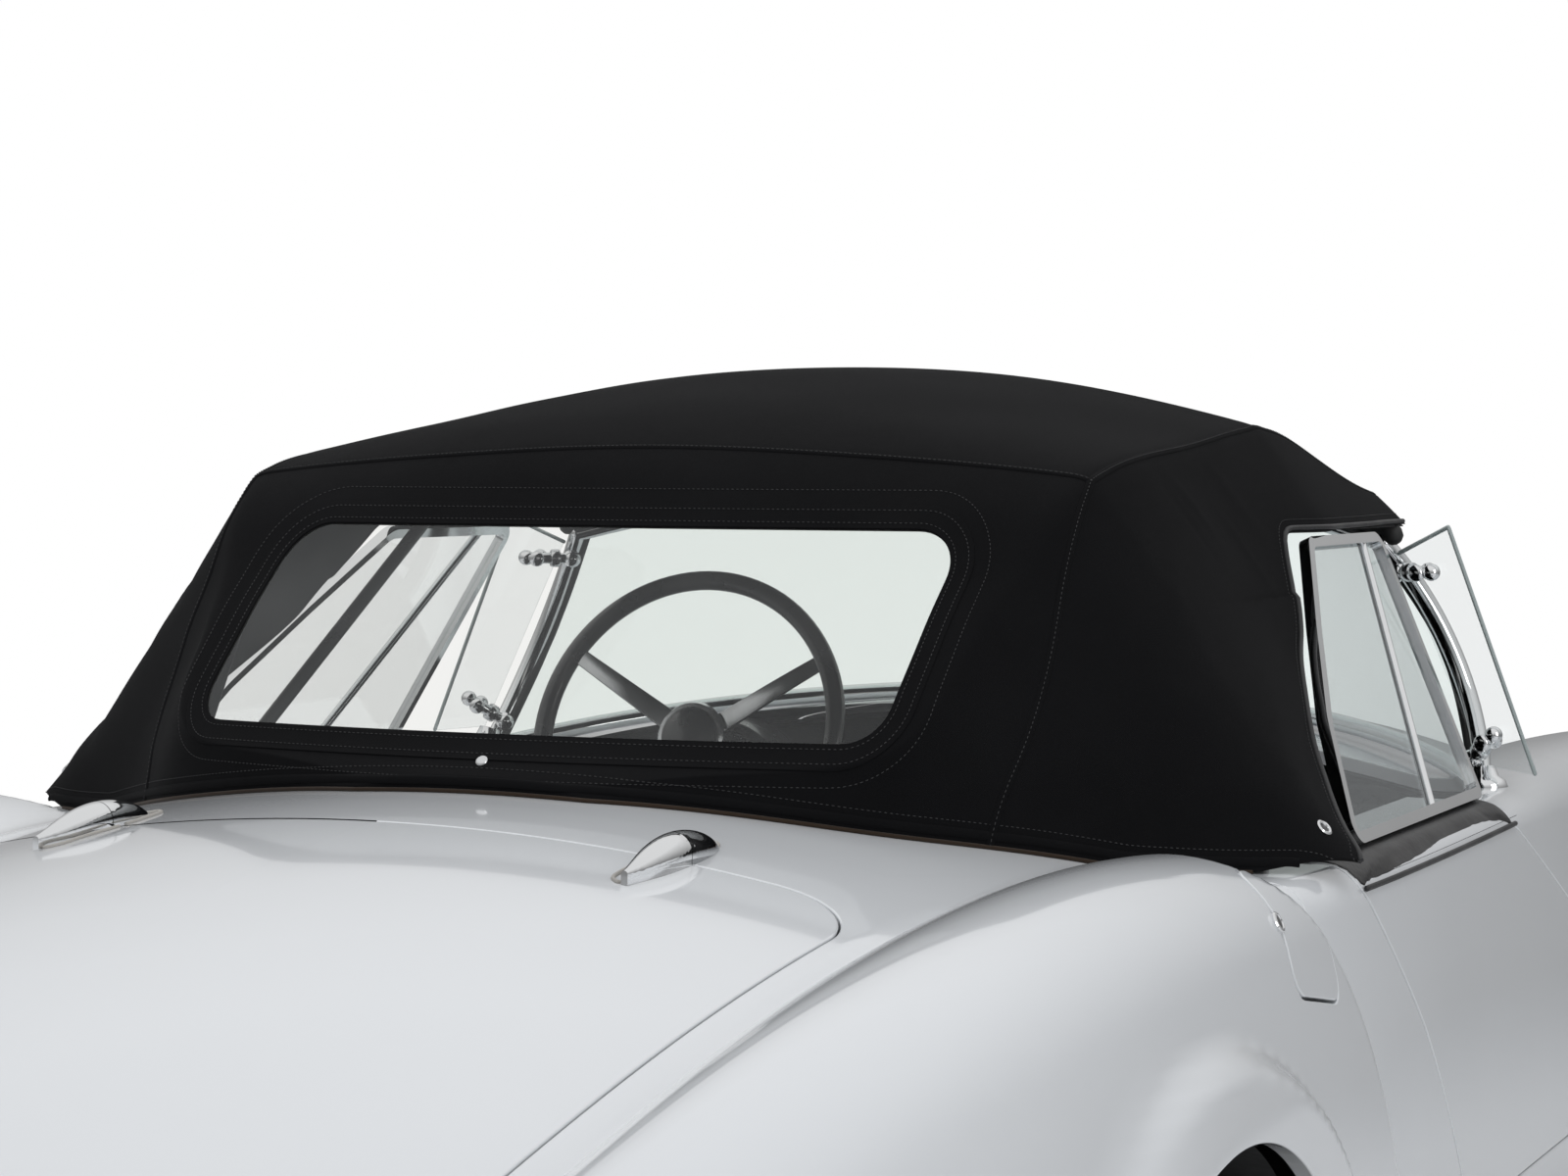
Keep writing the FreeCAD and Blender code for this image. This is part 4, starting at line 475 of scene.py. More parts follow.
class Outline:
    """A closed outline with rounded corners, and how far points lie outside it."""

    def __init__(self, corners):
        line = []
        count = len(corners)
        for i, (x, y, radius) in enumerate(corners):
            here = np.array([x, y])
            before = np.array(corners[i - 1][:2]) - here
            after = np.array(corners[(i + 1) % count][:2]) - here
            before = before / np.linalg.norm(before)
            after = after / np.linalg.norm(after)
            if radius <= 0:
                line.append(here[None])
                continue
            half = math.acos(np.clip(before @ after, -1, 1)) / 2
            reach = radius / math.tan(half)
            middle = (before + after) / np.linalg.norm(before + after)
            line.append(arc(here + middle * radius / math.sin(half), here + before * reach, here + after * reach, 24))
            line.append((here + after * reach)[None])
        self.line = np.concatenate(line)

    def outside(self, points):
        """Signed distance, positive outside."""
        start = self.line
        run = np.roll(start, -1, 0) - start
        length = (run ** 2).sum(1)
        result = np.empty(len(points))
        for low in range(0, len(points), BATCH):
            part = points[low:low + BATCH]
            away = part[:, None] - start[None]
            t = np.clip((away * run).sum(2) / np.maximum(length, 1e-12), 0, 1)
            near = np.linalg.norm(away - run * t[..., None], axis=2).min(1)
            y, y0, y1 = part[:, None, 1], start[None, :, 1], (start + run)[None, :, 1]
            crosses = (y0 <= y) != (y1 <= y)
            slope = np.where(crosses, (y - y0) / np.where(np.abs(y1 - y0) < 1e-12, 1e-12, y1 - y0), 0)
            x_at = start[None, :, 0] + slope * run[None, :, 0]
            odd = (crosses & (part[:, None, 0] < x_at)).sum(1) % 2
            result[low:low + BATCH] = np.where(odd == 1, -near, near)
        return result


# ---- openings and panels of the body ----

DOOR = Outline([(-0.550, 1.00, 0), (-0.550, 0.846, 0), (-0.410, 0.690, 0.150), (-0.265, 0.478, 0.060),
                (0.400, 0.468, 0.070), (0.400, 0.690, 0.110), (0.220, 0.778, 0.160), (0.095, 0.838, 0),
                (0.095, 1.00, 0)])
COCKPIT = Outline([(0.652, -0.630, 0.170), (0.652, 0.330, 0.040), (-0.652, 0.330, 0.040), (-0.652, -0.630, 0.170)])
BONNET = Outline([(0.425, 0.700, 0.050), (0.365, 1.865, 0.190), (-0.365, 1.865, 0.190), (-0.425, 0.700, 0.050)])
BOOT = Outline([(0.470, -1.1065, 0.090), (-0.470, -1.1065, 0.090), (-0.445, -1.978, 0.150), (0.445, -1.978, 0.150)])
MOUTH = Outline([(0.235, 0.345, 0.060), (0.195, 0.560, 0.070), (-0.195, 0.560, 0.070), (-0.235, 0.345, 0.060)])
FLAP = Outline([(0.061, 0.070, 0.024), (-0.061, 0.070, 0.024), (-0.061, -0.070, 0.024), (0.061, -0.070, 0.024)])
FLAP_CENTRE = np.array([0.727, -0.766, 0.834])
FLAP_TURN = np.array((Matrix.Rotation(math.radians(48), 3, "Y") @
                      Matrix.Rotation(math.radians(-8), 3, "Z")).transposed())
HEADLAMP = np.array([0.568, 1.953, 0.640])
SHUT = 0.0026
HEM_RADIUS = 0.0018
HEM_DEPTH = 0.014
ARCH_WALL = 0.366
LAMP_HOLE = 0.104


def near_only(points, near, distance):
    """The distances of the near points; the others count as 1 m away."""
    result = np.full(len(points), 1.0)
    result[near] = distance(points[near])
    return result


def off_door(points):
    """Distance outside the door's outline; the deck inside the sill line counts as far outside."""
    near = (points[:, 0] > 0.60) & (points[:, 1] > -0.62) & (points[:, 1] < 0.47) & (points[:, 2] > 0.40)
    return near_only(points, near, lambda p: DOOR.outside(p[:, [1, 2]]))


def off_plan(outline, lowest):
    low, high = outline.line.min(0) - 0.1, outline.line.max(0) + 0.1

    def distance(points):
        near = (points[:, 2] > lowest) & (points[:, 1] > low[1]) & (points[:, 1] < high[1])
        return near_only(points, near, lambda p: outline.outside(p[:, :2]))
    return distance


def off_flap(points):
    place = (points - FLAP_CENTRE) @ FLAP_TURN.T
    return near_only(place, (np.abs(place) < 0.2).all(1), lambda p: FLAP.outside(p[:, :2]))


def off_arches(points):
    side = points[:, 0] > ARCH_WALL
    rear = np.hypot(points[:, 1] - REAR_Y, points[:, 2] - AXLE_Z)
    front = np.hypot(points[:, 1] - FRONT_Y, points[:, 2] - AXLE_Z)
    return np.where(side, np.minimum(rear, front) - ARCH_RADIUS, 1.0)


def off_mouth(points):
    return near_only(points, points[:, 1] > NOSE_Y - 0.3, lambda p: MOUTH.outside(p[:, [0, 2]]))


def off_headlamp(points):
    near = points[:, 1] > HEADLAMP[1] - 0.3
    away = np.hypot(points[:, 0] - HEADLAMP[0], points[:, 2] - HEADLAMP[2])
    return np.where(near, away - LAMP_HOLE, 1.0)


off_cockpit = off_plan(COCKPIT, 0.70)
off_bonnet = off_plan(BONNET, 0.52)
off_boot = off_plan(BOOT, 0.50)


# The ends of the body, END_LENGTH long, have rows that gather towards the tip
END_LENGTH = 0.30
TAIL_ROWS = 90
NOSE_ROWS = 70
EVEN_START = -1.24


def spaced(start, end, step):
    return np.linspace(start, end, int(round((end - start) / step)) + 1)


def body_rows():
    """Places along the car where the skin is worked out, closer together where it turns quickly."""
    tail = TAIL_Y + END_LENGTH * np.linspace(0, 1, TAIL_ROWS) ** 1.8
    nose = NOSE_Y - END_LENGTH * np.linspace(0, 1, NOSE_ROWS)[::-1] ** 1.8
    middle = spaced(tail[-1], nose[0], 0.008)
    return np.concatenate([tail, middle[1:-1], nose])


ROUND_COLUMNS = 190
# How wide each ring of an end cap is, and how far it stands out
CAP_RINGS = (0.0, 0.010), (0.35, 0.0098), (0.62, 0.009), (0.80, 0.0075), (0.92, 0.005), (0.975, 0.0022)
skin = Skin(body_rows(), ROUND_COLUMNS)
columns = np.arange(ROUND_COLUMNS)


def skin_grid(rows):
    """Skin points where rows give the place along the car, one per column or one for all."""
    if rows.ndim == 1:
        rows = np.repeat(rows[:, None], ROUND_COLUMNS, 1)
    return skin.read(rows, np.broadcast_to(columns, rows.shape))


def edge_rows():
    """Rows of the rear body that gather along the haunch's leading edge."""
    reference = skin.full[np.searchsorted(skin.ys, -0.80)]
    edge = leading_edge(reference[:, 1])
    deck = columns < np.argmax(reference[:, 0] > 0.50)
    edge = np.where(deck, leading_edge(0.93), edge)
    edge = np.convolve(np.pad(edge, 6, mode="edge"), np.ones(13) / 13, mode="valid")
    ahead = SPLIT_REAR - (SPLIT_REAR - edge - 0.002) * np.linspace(0, 1, 34)[:, None] ** 0.9
    across_edge = edge - np.concatenate([spaced(0, 0.012, 0.0015)[1:], spaced(0.012, 0.05, 0.003)[1:]])[:, None]
    behind_start = edge - 0.05
    t = np.linspace(0, 1, 84)[1:, None]
    behind = behind_start + (EVEN_START - behind_start) * (t + 0.25 * t * (t - 1))
    back = np.concatenate([spaced(TAIL_Y + END_LENGTH, EVEN_START, 0.009)[::-1][1:], skin.ys[:TAIL_ROWS][::-1][1:]])
    back = np.repeat(back[:, None], ROUND_COLUMNS, 1)
    return np.concatenate([ahead, across_edge, behind, back])[::-1]


def end_cap(ring, y, way):
    """Rings that round a flat end of the body over towards its middle, from the middle outwards."""
    middle = np.array([0.0, y, (ring[:, 2].max() + ring[:, 2].min()) / 2])
    rings = []
    for share, out in CAP_RINGS:
        smaller = middle + (ring - middle) * (share, 1, share)
        smaller[:, 1] = y + way * out
        rings.append(smaller)
    return rings


def held_seam(points):
    """Edge points that meet the mirrored half or the next panel of the body."""
    on_split = [np.abs(points[:, 1] - split) < 1e-5 for split in (SPLIT_REAR, SPLIT_FRONT)]
    return (points[:, 0] < 1e-4) | on_split[0] | on_split[1]


# ---- materials ----

def material(name):
    made = bpy.data.materials.new(name)
    made.use_nodes = True
    tree = made.node_tree
    return made, tree, tree.nodes["Principled BSDF"]


def link(tree, source, target):
    tree.links.new(source, target)


def add(tree, kind, **settings):
    node = tree.nodes.new("ShaderNode" + kind)
    for key, value in settings.items():
        if key in node.inputs:
            node.inputs[key].default_value = value
        else:
            setattr(node, key, value)
    return node


def object_place(tree, scale=(1, 1, 1)):
    place = add(tree, "TexCoord")
    mapping = add(tree, "Mapping")
    mapping.inputs["Scale"].default_value = scale
    link(tree, place.outputs["Object"], mapping.inputs["Vector"])
    return mapping.outputs["Vector"]


def noise(tree, vector, scale, detail=3.0, rough=0.5):
    node = add(tree, "TexNoise", Scale=scale, Detail=detail, Roughness=rough)
    link(tree, vector, node.inputs["Vector"])
    return node.outputs["Fac"]


def spread(tree, value, low, high, to_low, to_high):
    node = add(tree, "MapRange")
    for index, number in enumerate((low, high, to_low, to_high), start=1):
        node.inputs[index].default_value = number
    link(tree, value, node.inputs[0])
    return node.outputs[0]


def between(tree, factor, first, second):
    node = add(tree, "Mix", data_type="RGBA")
    node.inputs[6].default_value = (*first, 1)
    node.inputs[7].default_value = (*second, 1)
    link(tree, factor, node.inputs[0])
    return node.outputs[2]


def bumped(tree, shader, height, strength, distance):
    bump = add(tree, "Bump", Strength=strength, Distance=distance)
    link(tree, height, bump.inputs["Height"])
    link(tree, bump.outputs["Normal"], shader.inputs["Normal"])


def maths(tree, operation, *values):
    """A math node fed with sockets or numbers."""
    node = add(tree, "Math", operation=operation)
    for socket, value in zip(node.inputs, values):
        if isinstance(value, bpy.types.NodeSocket):
            link(tree, value, socket)
        else:
            socket.default_value = value
    return node.outputs[0]


def mixed_shader(tree, factor, first, second):
    node = add(tree, "MixShader")
    for socket, source in zip(node.inputs, (factor, first, second)):
        link(tree, source, socket)
    return node.outputs[0]


def wired(tree, shader, colour, roughness, **settings):
    """Wires colour and roughness into a shader and sets its other inputs."""
    link(tree, colour, shader.inputs["Base Color"])
    if roughness is not None:
        link(tree, roughness, shader.inputs["Roughness"])
    for key, value in settings.items():
        shader.inputs[key.replace("_", " ")].default_value = value


def gloss_paint(name, colour, shade, roughness=0.10):
    """Solid enamel under lacquer, with a trace of orange peel."""
    made, tree, shader = material(name)
    vector = object_place(tree)
    wired(tree, shader, between(tree, noise(tree, vector, 2.3), colour, shade),
         spread(tree, noise(tree, vector, 5.0), 0.3, 0.7, roughness, roughness + 0.05),
         Coat_Weight=0.7, Coat_Roughness=0.04)
    bumped(tree, shader, noise(tree, vector, 420.0, 1.0), 0.015, 0.001)
    return made


def metal(name, colour, roughness, streak=0.05):
    made, tree, shader = material(name)
    vector = object_place(tree)
    wired(tree, shader, between(tree, noise(tree, vector, 9.0), colour, tuple(c * 0.9 for c in colour)),
         spread(tree, noise(tree, vector, 60.0), 0.3, 0.7, roughness, roughness + streak), Metallic=1.0)
    return made


def woven(name, colour, light, pitch, roughness=0.9, depth=0.35, sheen=0.15, gloss=0.3):
    """Plain-weave cloth: two crossing sets of threads, with a little fading."""
    made, tree, shader = material(name)
    split = add(tree, "SeparateXYZ")
    link(tree, add(tree, "TexCoord").outputs["UV"], split.inputs[0])
    weave = maths(tree, "MULTIPLY", *[maths(tree, "SINE", maths(
        tree, "MULTIPLY", split.outputs[axis], 2 * math.pi / pitch)) for axis in "XY"])
    vector = object_place(tree)
    fading = spread(tree, noise(tree, vector, 3.0, 5.0, 0.6), 0.35, 0.75, 0.15, 0.75)
    wired(tree, shader, between(tree, maths(tree, "MULTIPLY_ADD", weave, 0.16, fading), colour, light), None,
         Roughness=roughness, Specular_IOR_Level=gloss, Sheen_Weight=sheen, Sheen_Roughness=0.4)
    bumped(tree, shader, maths(tree, "MULTIPLY_ADD", weave, 0.5, noise(tree, vector, 700.0, 2.0)), depth, 0.0006)
    return made


def grained(name, colour, light, roughness=0.42, scale=260.0, depth=0.3, coat=0.0):
    """Leather or moulded plastic: a pebbled grain over broad, uneven wear."""
    made, tree, shader = material(name)
    vector = object_place(tree)
    cells = add(tree, "TexVoronoi", Scale=scale)
    link(tree, vector, cells.inputs["Vector"])
    wired(tree, shader, between(tree, noise(tree, vector, 5.0, 4.0), colour, light),
         spread(tree, noise(tree, vector, 13.0, 4.0), 0.3, 0.7, roughness - 0.06, roughness + 0.12), Coat_Weight=coat)
    bumped(tree, shader, cells.outputs["Distance"], depth, 0.0008)
    return made


def clear(name, tint, roughness, haze=0.0):
    """Glass or flexible clear sheet: light passes straight through a thin pane, with glossy faces."""
    made, tree, shader = material(name)
    vector = object_place(tree)
    tree.nodes.remove(shader)
    gloss = add(tree, "BsdfGlossy", Roughness=roughness, Color=(0.9, 0.93, 0.95, 1))
    through = add(tree, "BsdfTransparent", Color=(*tint, 1))
    steep = maths(tree, "POWER", add(tree, "LayerWeight", Blend=0.5).outputs["Facing"], 4.0)
    pane = mixed_shader(tree, spread(tree, steep, 0.0, 1.0, 0.035, 0.75), through.outputs[0], gloss.outputs[0])
    if haze:
        film = add(tree, "BsdfDiffuse", Color=(0.72, 0.72, 0.70, 1))
        veil = spread(tree, noise(tree, vector, 7.0, 6.0, 0.6), 0.35, 0.8, haze * 0.3, haze)
        pane = mixed_shader(tree, veil, pane, film.outputs[0])
        bumped(tree, gloss, noise(tree, vector, 6.0, 2.0), 0.25, 0.004)
    link(tree, pane, tree.nodes["Material Output"].inputs["Surface"])
    return made


PAINT = gloss_paint("white enamel", (0.80, 0.81, 0.82), (0.77, 0.785, 0.80))
INNER = grained("inner paint", (0.50, 0.51, 0.52), (0.56, 0.57, 0.58), 0.5, 90.0, 0.1)
UNDER = grained("underseal", (0.012, 0.012, 0.013), (0.03, 0.03, 0.03), 0.75, 70.0, 0.8)
CHROME = metal("chrome", (0.86, 0.87, 0.88), 0.045, 0.03)
ALLOY = metal("polished alloy", (0.78, 0.79, 0.80), 0.16, 0.08)
IRON = metal("cast iron", (0.16, 0.16, 0.17), 0.55, 0.2)
STEEL = metal("steel", (0.42, 0.42, 0.43), 0.38, 0.15)
CANVAS = woven("black canvas", (0.0030, 0.0030, 0.0034), (0.0085, 0.0085, 0.0092), 0.0016, sheen=0.012, gloss=0.10)
LINING_CLOTH = woven("head lining", (0.010, 0.010, 0.010), (0.022, 0.021, 0.021), 0.0020)
HEM_EDGE = woven("canvas cut edge", (0.020, 0.012, 0.007), (0.050, 0.032, 0.020), 0.0012)
CARPET = woven("carpet", (0.012, 0.012, 0.013), (0.03, 0.03, 0.032), 0.004, 0.98, 0.8)
LEATHER = grained("black leather", (0.010, 0.010, 0.011), (0.026, 0.025, 0.025), 0.40, 300.0, 0.35)
TRIM = grained("black trim", (0.009, 0.009, 0.010), (0.020, 0.020, 0.021), 0.46, 420.0, 0.3)
RUBBER = grained("rubber", (0.010, 0.010, 0.010), (0.024, 0.024, 0.024), 0.62, 900.0, 0.12)
PALE_RUBBER = grained("gasket rubber", (0.36, 0.34, 0.31), (0.46, 0.44, 0.41), 0.6, 700.0, 0.12)
TYRE = grained("tyre rubber", (0.014, 0.014, 0.015), (0.038, 0.037, 0.036), 0.72, 500.0, 0.2)
BLACK = grained("black enamel", (0.010, 0.010, 0.011), (0.022, 0.022, 0.023), 0.28, 60.0, 0.06, 0.4)
PLASTIC = grained("black plastic", (0.008, 0.008, 0.009), (0.014, 0.014, 0.015), 0.24, 900.0, 0.03, 0.5)
GLASS = clear("screen glass", (0.93, 0.96, 0.95), 0.01)
VINYL = clear("clear vinyl", (0.90, 0.90, 0.88), 0.06, 0.05)
ACRYLIC = clear("clear acrylic", (0.95, 0.96, 0.96), 0.015)
POLISHED_EDGE = gloss_paint("polished acrylic edge", (0.42, 0.47, 0.46), (0.33, 0.38, 0.37), 0.12)
RED = gloss_paint("red lens", (0.32, 0.006, 0.006), (0.22, 0.004, 0.004), 0.08)
AMBER = gloss_paint("amber lens", (0.60, 0.20, 0.02), (0.50, 0.15, 0.01), 0.08)
LENS = gloss_paint("lamp glass", (0.62, 0.64, 0.66), (0.50, 0.52, 0.54), 0.05)
WHEEL = gloss_paint("wheel enamel", (0.36, 0.365, 0.37), (0.33, 0.335, 0.34), 0.2)
THREAD = grained("thread", (0.020, 0.020, 0.021), (0.045, 0.045, 0.046), 0.6, 900.0, 0.2)


# ---- body panels ----

PROUD = 0.0010
LINING = 0.017


def shifted(sheet, height):
    return Sheet(sheet.points + sheet.normals * height, sheet.normals, sheet.faces)


def raised(grid, height):
    return shifted(grid_sheet(grid), height)


def cut(sheet, *distances):
    for distance in distances:
        sheet = kept(sheet, distance(sheet.points))
    return sheet


def beyond(distance, amount):
    return lambda points: distance(points) - amount


def within(distance, amount):
    return lambda points: -distance(points) - amount


def turned(sheet):
    return Sheet(sheet.points, -sheet.normals, sheet.faces[:, ::-1])


def both(sheet, other=None):
    return joined([sheet, mirrored(other or sheet)])


def lining(grid, step_y, step_round, *distances):
    """The inner face of a panel, coarser and set in from its skin."""
    rows = np.unique(np.concatenate([np.arange(0, len(grid), step_y), [len(grid) - 1]]))
    ring = np.unique(np.concatenate([np.arange(0, grid.shape[1], step_round), [grid.shape[1] - 1]]))
    sheet = raised(grid[rows][:, ring], -LINING)
    sheet.points[:, 0] = np.maximum(sheet.points[:, 0], 0)
    return turned(cut(sheet, *distances))


rear_grid = skin_grid(edge_rows())
rear_grid = np.concatenate([end_cap(rear_grid[0], TAIL_Y, -1), rear_grid])
middle_grid = skin_grid(spaced(SPLIT_REAR, SPLIT_FRONT, 0.012))
front_rows = np.concatenate([spaced(SPLIT_FRONT, NOSE_Y - END_LENGTH, 0.008), skin.ys[1 - NOSE_ROWS:]])
front_grid = skin_grid(front_rows)
front_grid = np.concatenate([front_grid, end_cap(front_grid[-1], NOSE_Y, 1)[::-1]])

openings_rear = [beyond(off_door, SHUT), beyond(off_cockpit, 0), beyond(off_boot, SHUT), off_arches]
openings_front = [beyond(off_door, SHUT), beyond(off_cockpit, 0), beyond(off_bonnet, SHUT), off_arches,
                  beyond(off_mouth, 0), beyond(off_headlamp, 0)]

rear_plain = cut(raised(rear_grid, PROUD), *openings_rear)
rear_flap = cut(rear_plain, beyond(off_flap, SHUT))
rear_skin = hemmed(both(rear_flap, rear_plain), HEM_RADIUS, HEM_DEPTH, held_seam)
piece("rear_body_skin", rear_skin, PAINT, "car", "body_rear")
middle_skin = both(cut(raised(middle_grid, PROUD), beyond(off_door, SHUT), beyond(off_cockpit, 0)))
piece("sill_skin", hemmed(middle_skin, HEM_RADIUS, 0.004, held_seam), PAINT, "car")
front_skin = hemmed(both(cut(raised(front_grid, PROUD), *openings_front)), HEM_RADIUS, HEM_DEPTH, held_seam)
piece("front_body_skin", front_skin, PAINT, "car", "body_front")

piece("rear_body_lining", both(lining(rear_grid, 4, 3, *openings_rear)), UNDER, "car")
piece("front_body_lining", both(lining(front_grid, 3, 3, *openings_front)), UNDER, "car")

door_grid = skin_grid(spaced(-0.60, 0.46, 0.008))
door_skin = hemmed(cut(raised(door_grid, PROUD + 0.0004), within(off_door, SHUT)), HEM_RADIUS, HEM_DEPTH)
piece("door_skin_right", door_skin, PAINT, "door_r")
piece("door_skin_left", mirrored(door_skin), PAINT, "door_l")

for node, body, start, end, step, width, opening in (
        ("bonnet", "bonnet_lid", 0.69, 1.88, 0.010, 130, off_bonnet),
        ("boot_lid", "boot", -1.99, -1.09, 0.008, 110, off_boot)):
    lid_grid = skin_grid(spaced(start, end, step))[:, :width]
    lid_skin = both(cut(raised(lid_grid, PROUD), within(opening, SHUT)))
    piece(node + "_skin", hemmed(lid_skin, HEM_RADIUS, HEM_DEPTH, held_seam), PAINT, body, node)
    piece(node + "_lining", both(lining(lid_grid, 2, 3, within(opening, SHUT))), INNER, body)

flap_grid = skin_grid(spaced(-0.92, -0.62, 0.003))[:, 20:120]
flap_skin = hemmed(cut(raised(flap_grid, PROUD + 0.0008), within(off_flap, SHUT)), HEM_RADIUS, 0.010)
piece("fuel_flap_skin", flap_skin, PAINT, "flap", "fuel_flap")


# ---- shapes along lines and round axes ----

def evenly(line, count):
    """The same line with its points evenly spaced."""
    run = np.concatenate([[0], np.cumsum(np.linalg.norm(np.diff(line, axis=0), axis=1))])
    at = np.linspace(0, run[-1], count)
    return np.stack([np.interp(at, run, line[:, k]) for k in range(line.shape[1])], 1)


def smooth_path(points, count):
    """Evenly spaced points on a smooth line through the given ones."""
    points = np.array(points, float)
    run = np.concatenate([[0], np.cumsum(np.linalg.norm(np.diff(points, axis=0), axis=1))])
    return evenly(natural_cubic(run, points, np.linspace(0, run[-1], 40 * len(points))), count)


def unit(vectors):
    vectors = np.asarray(vectors, float)
    return vectors / np.maximum(np.linalg.norm(vectors, axis=-1, keepdims=True), 1e-12)


def solid(grid, looped=False, capped=True):
    """A closed skin over rings of points; looped joins the last ring to the first."""
    rings, count = grid.shape[:2]
    index = np.arange(rings * count).reshape(rings, count)
    after = np.roll(index, -1, 1)
    below = np.roll(index, -1, 0) if looped else index[1:]
    here, next_ = (index, after) if looped else (index[:-1], after[:-1])
    below_next = np.roll(below, -1, 1)
    a, b, c, d = here.ravel(), next_.ravel(), below_next.ravel(), below.ravel()
    faces = [np.stack([a, b, c], 1), np.stack([a, c, d], 1)]
    points = [grid.reshape(-1, 3)]
    if capped and not looped:
        for ring, flip in ((0, True), (rings - 1, False)):
            middle = len(grid.reshape(-1, 3)) + len(points) - 1
            points.append(grid[ring].mean(0)[None])
            fan = np.stack([index[ring], after[ring], np.full(count, middle)], 1)
            faces.append(fan[:, ::-1] if flip else fan)
    points, faces = np.concatenate(points), np.concatenate(faces)
    corner = points[faces]
    volume = np.einsum("ij,ij->i", corner[:, 0], np.cross(corner[:, 1], corner[:, 2])).sum()
    return Sheet(points, None, faces if volume > 0 else faces[:, ::-1])


def along(line, profile, up, looped=False, size=1.0):
    """A bar that follows a line; profile gives its outline across and up, and size scales it point by point."""
    ahead = unit(np.roll(line, -1, 0) - np.roll(line, 1, 0) if looped else np.gradient(line, axis=0))
    across_ = unit(np.cross(ahead, np.broadcast_to(up, line.shape)))
    upward = np.cross(across_, ahead)
    size = np.broadcast_to(size, len(line))[:, None, None]
    profile = np.asarray(profile)
    grid = line[:, None] + size * (profile[None, :, :1] * across_[:, None] + profile[None, :, 1:] * upward[:, None])
    return solid(grid, looped)


def round_profile(radius, count=12, flat=1.0):
    angle = np.linspace(0, 2 * math.pi, count, endpoint=False)
    return np.stack([radius * np.cos(angle), radius * flat * np.sin(angle)], 1)


def block_profile(width, height, radius, count=4):
    """A rectangle with rounded corners."""
    corners = []
    for k, (sx, sy) in enumerate(((1, 1), (-1, 1), (-1, -1), (1, -1))):
        angle = k * math.pi / 2 + np.linspace(0, math.pi / 2, count + 1)
        centre = (sx * (width / 2 - radius), sy * (height / 2 - radius))
        corners.append(np.stack([centre[0] + radius * np.cos(angle), centre[1] + radius * np.sin(angle)], 1))
    return np.concatenate(corners)


def tube(line, radius, count=12, looped=False, up=(0, 0, 1)):
    """A round bar with domed ends."""
    line = np.asarray(line, float)
    size = np.ones(len(line))
    if not looped:
        first, last = unit(line[0] - line[1]), unit(line[-1] - line[-2])
        domes = ((0.6, 0.8), (0.92, 0.39))
        head = [line[0] + first * radius * reach for reach, _ in domes[::-1]]
        foot = [line[-1] + last * radius * reach for reach, _ in domes]
        line = np.concatenate([head, line, foot])
        size = np.concatenate([[s for _, s in domes[::-1]], size, [s for _, s in domes]])
    return along(line, round_profile(radius, count), up, looped, size)


def lathe(profile, centre, axis, steps=48):
    """A shape turned about an axis; profile lists (radius, height along the axis)."""
    axis = unit(axis)
    first = unit(np.cross(axis, (0, 0, 1) if abs(axis[2]) < 0.9 else (1, 0, 0)))
    second = np.cross(axis, first)
    angle = np.linspace(0, 2 * math.pi, steps, endpoint=False)
    ring = np.cos(angle)[:, None] * first + np.sin(angle)[:, None] * second
    profile = np.asarray(profile, float)
    grid = np.asarray(centre) + profile[:, None, :1] * ring[None] + profile[:, None, 1:] * axis
    closed = np.allclose(profile[0], profile[-1])
    return solid(grid[:-1], True) if closed else solid(grid)


def dome_profile(radius, height, rim=0.0, count=10):
    """A shallow dome with a short wall under it."""
    angle = np.linspace(0, math.pi / 2, count)
    rows = [(0.0, -rim), (radius, -rim)] if rim else [(0.0, 0.0)]
    return rows + [(radius * math.cos(a), height * math.sin(a)) for a in angle]


def pairs(*sheets):
    """Right-hand shapes together with their mirror images."""
    return together(*sheets, *[mirrored(sheet) for sheet in sheets])


def together(*sheets):
    return joined(sheets)


def contours(sheet, field, shortest=0.03):
    """Lines on a sheet along which field is nought, as ordered points with their normals."""
    points, normals, faces = sheet
    d = np.where(np.abs(field) < 1e-7, 1e-7, field)
    inside = d > 0
    count = inside[faces].sum(1)
    links, places = {}, {}

    def crossing(i, j):
        key = (i, j) if i < j else (j, i)
        if key not in places:
            t = d[i] / (d[i] - d[j])
            places[key] = np.concatenate([field_[i] + (field_[j] - field_[i]) * t for field_ in (points, normals)])
        return key

    for a, b, c in faces[(count == 1) | (count == 2)]:
        ends = [crossing(i, j) for i, j in ((a, b), (b, c), (c, a)) if inside[i] != inside[j]]
        links.setdefault(ends[0], []).append(ends[1])
        links.setdefault(ends[1], []).append(ends[0])
    lines = []
    while links:
        start = next((key for key, near in links.items() if len(near) == 1), next(iter(links)))
        chain = [start]
        while chain[-1] in links:
            near = links.pop(chain[-1])
            onward = [key for key in near if key in links]
            if not onward:
                if len(near) == 2 and chain[0] in near and len(chain) > 2:
                    chain.append(chain[0])
                break
            chain.append(onward[0])
        line = np.array([places[key] for key in chain])
        if np.linalg.norm(np.diff(line[:, :3], axis=0), axis=1).sum() > shortest:
            lines.append(line)
    return lines


# ---- what repeats: one node tree for each kind ----

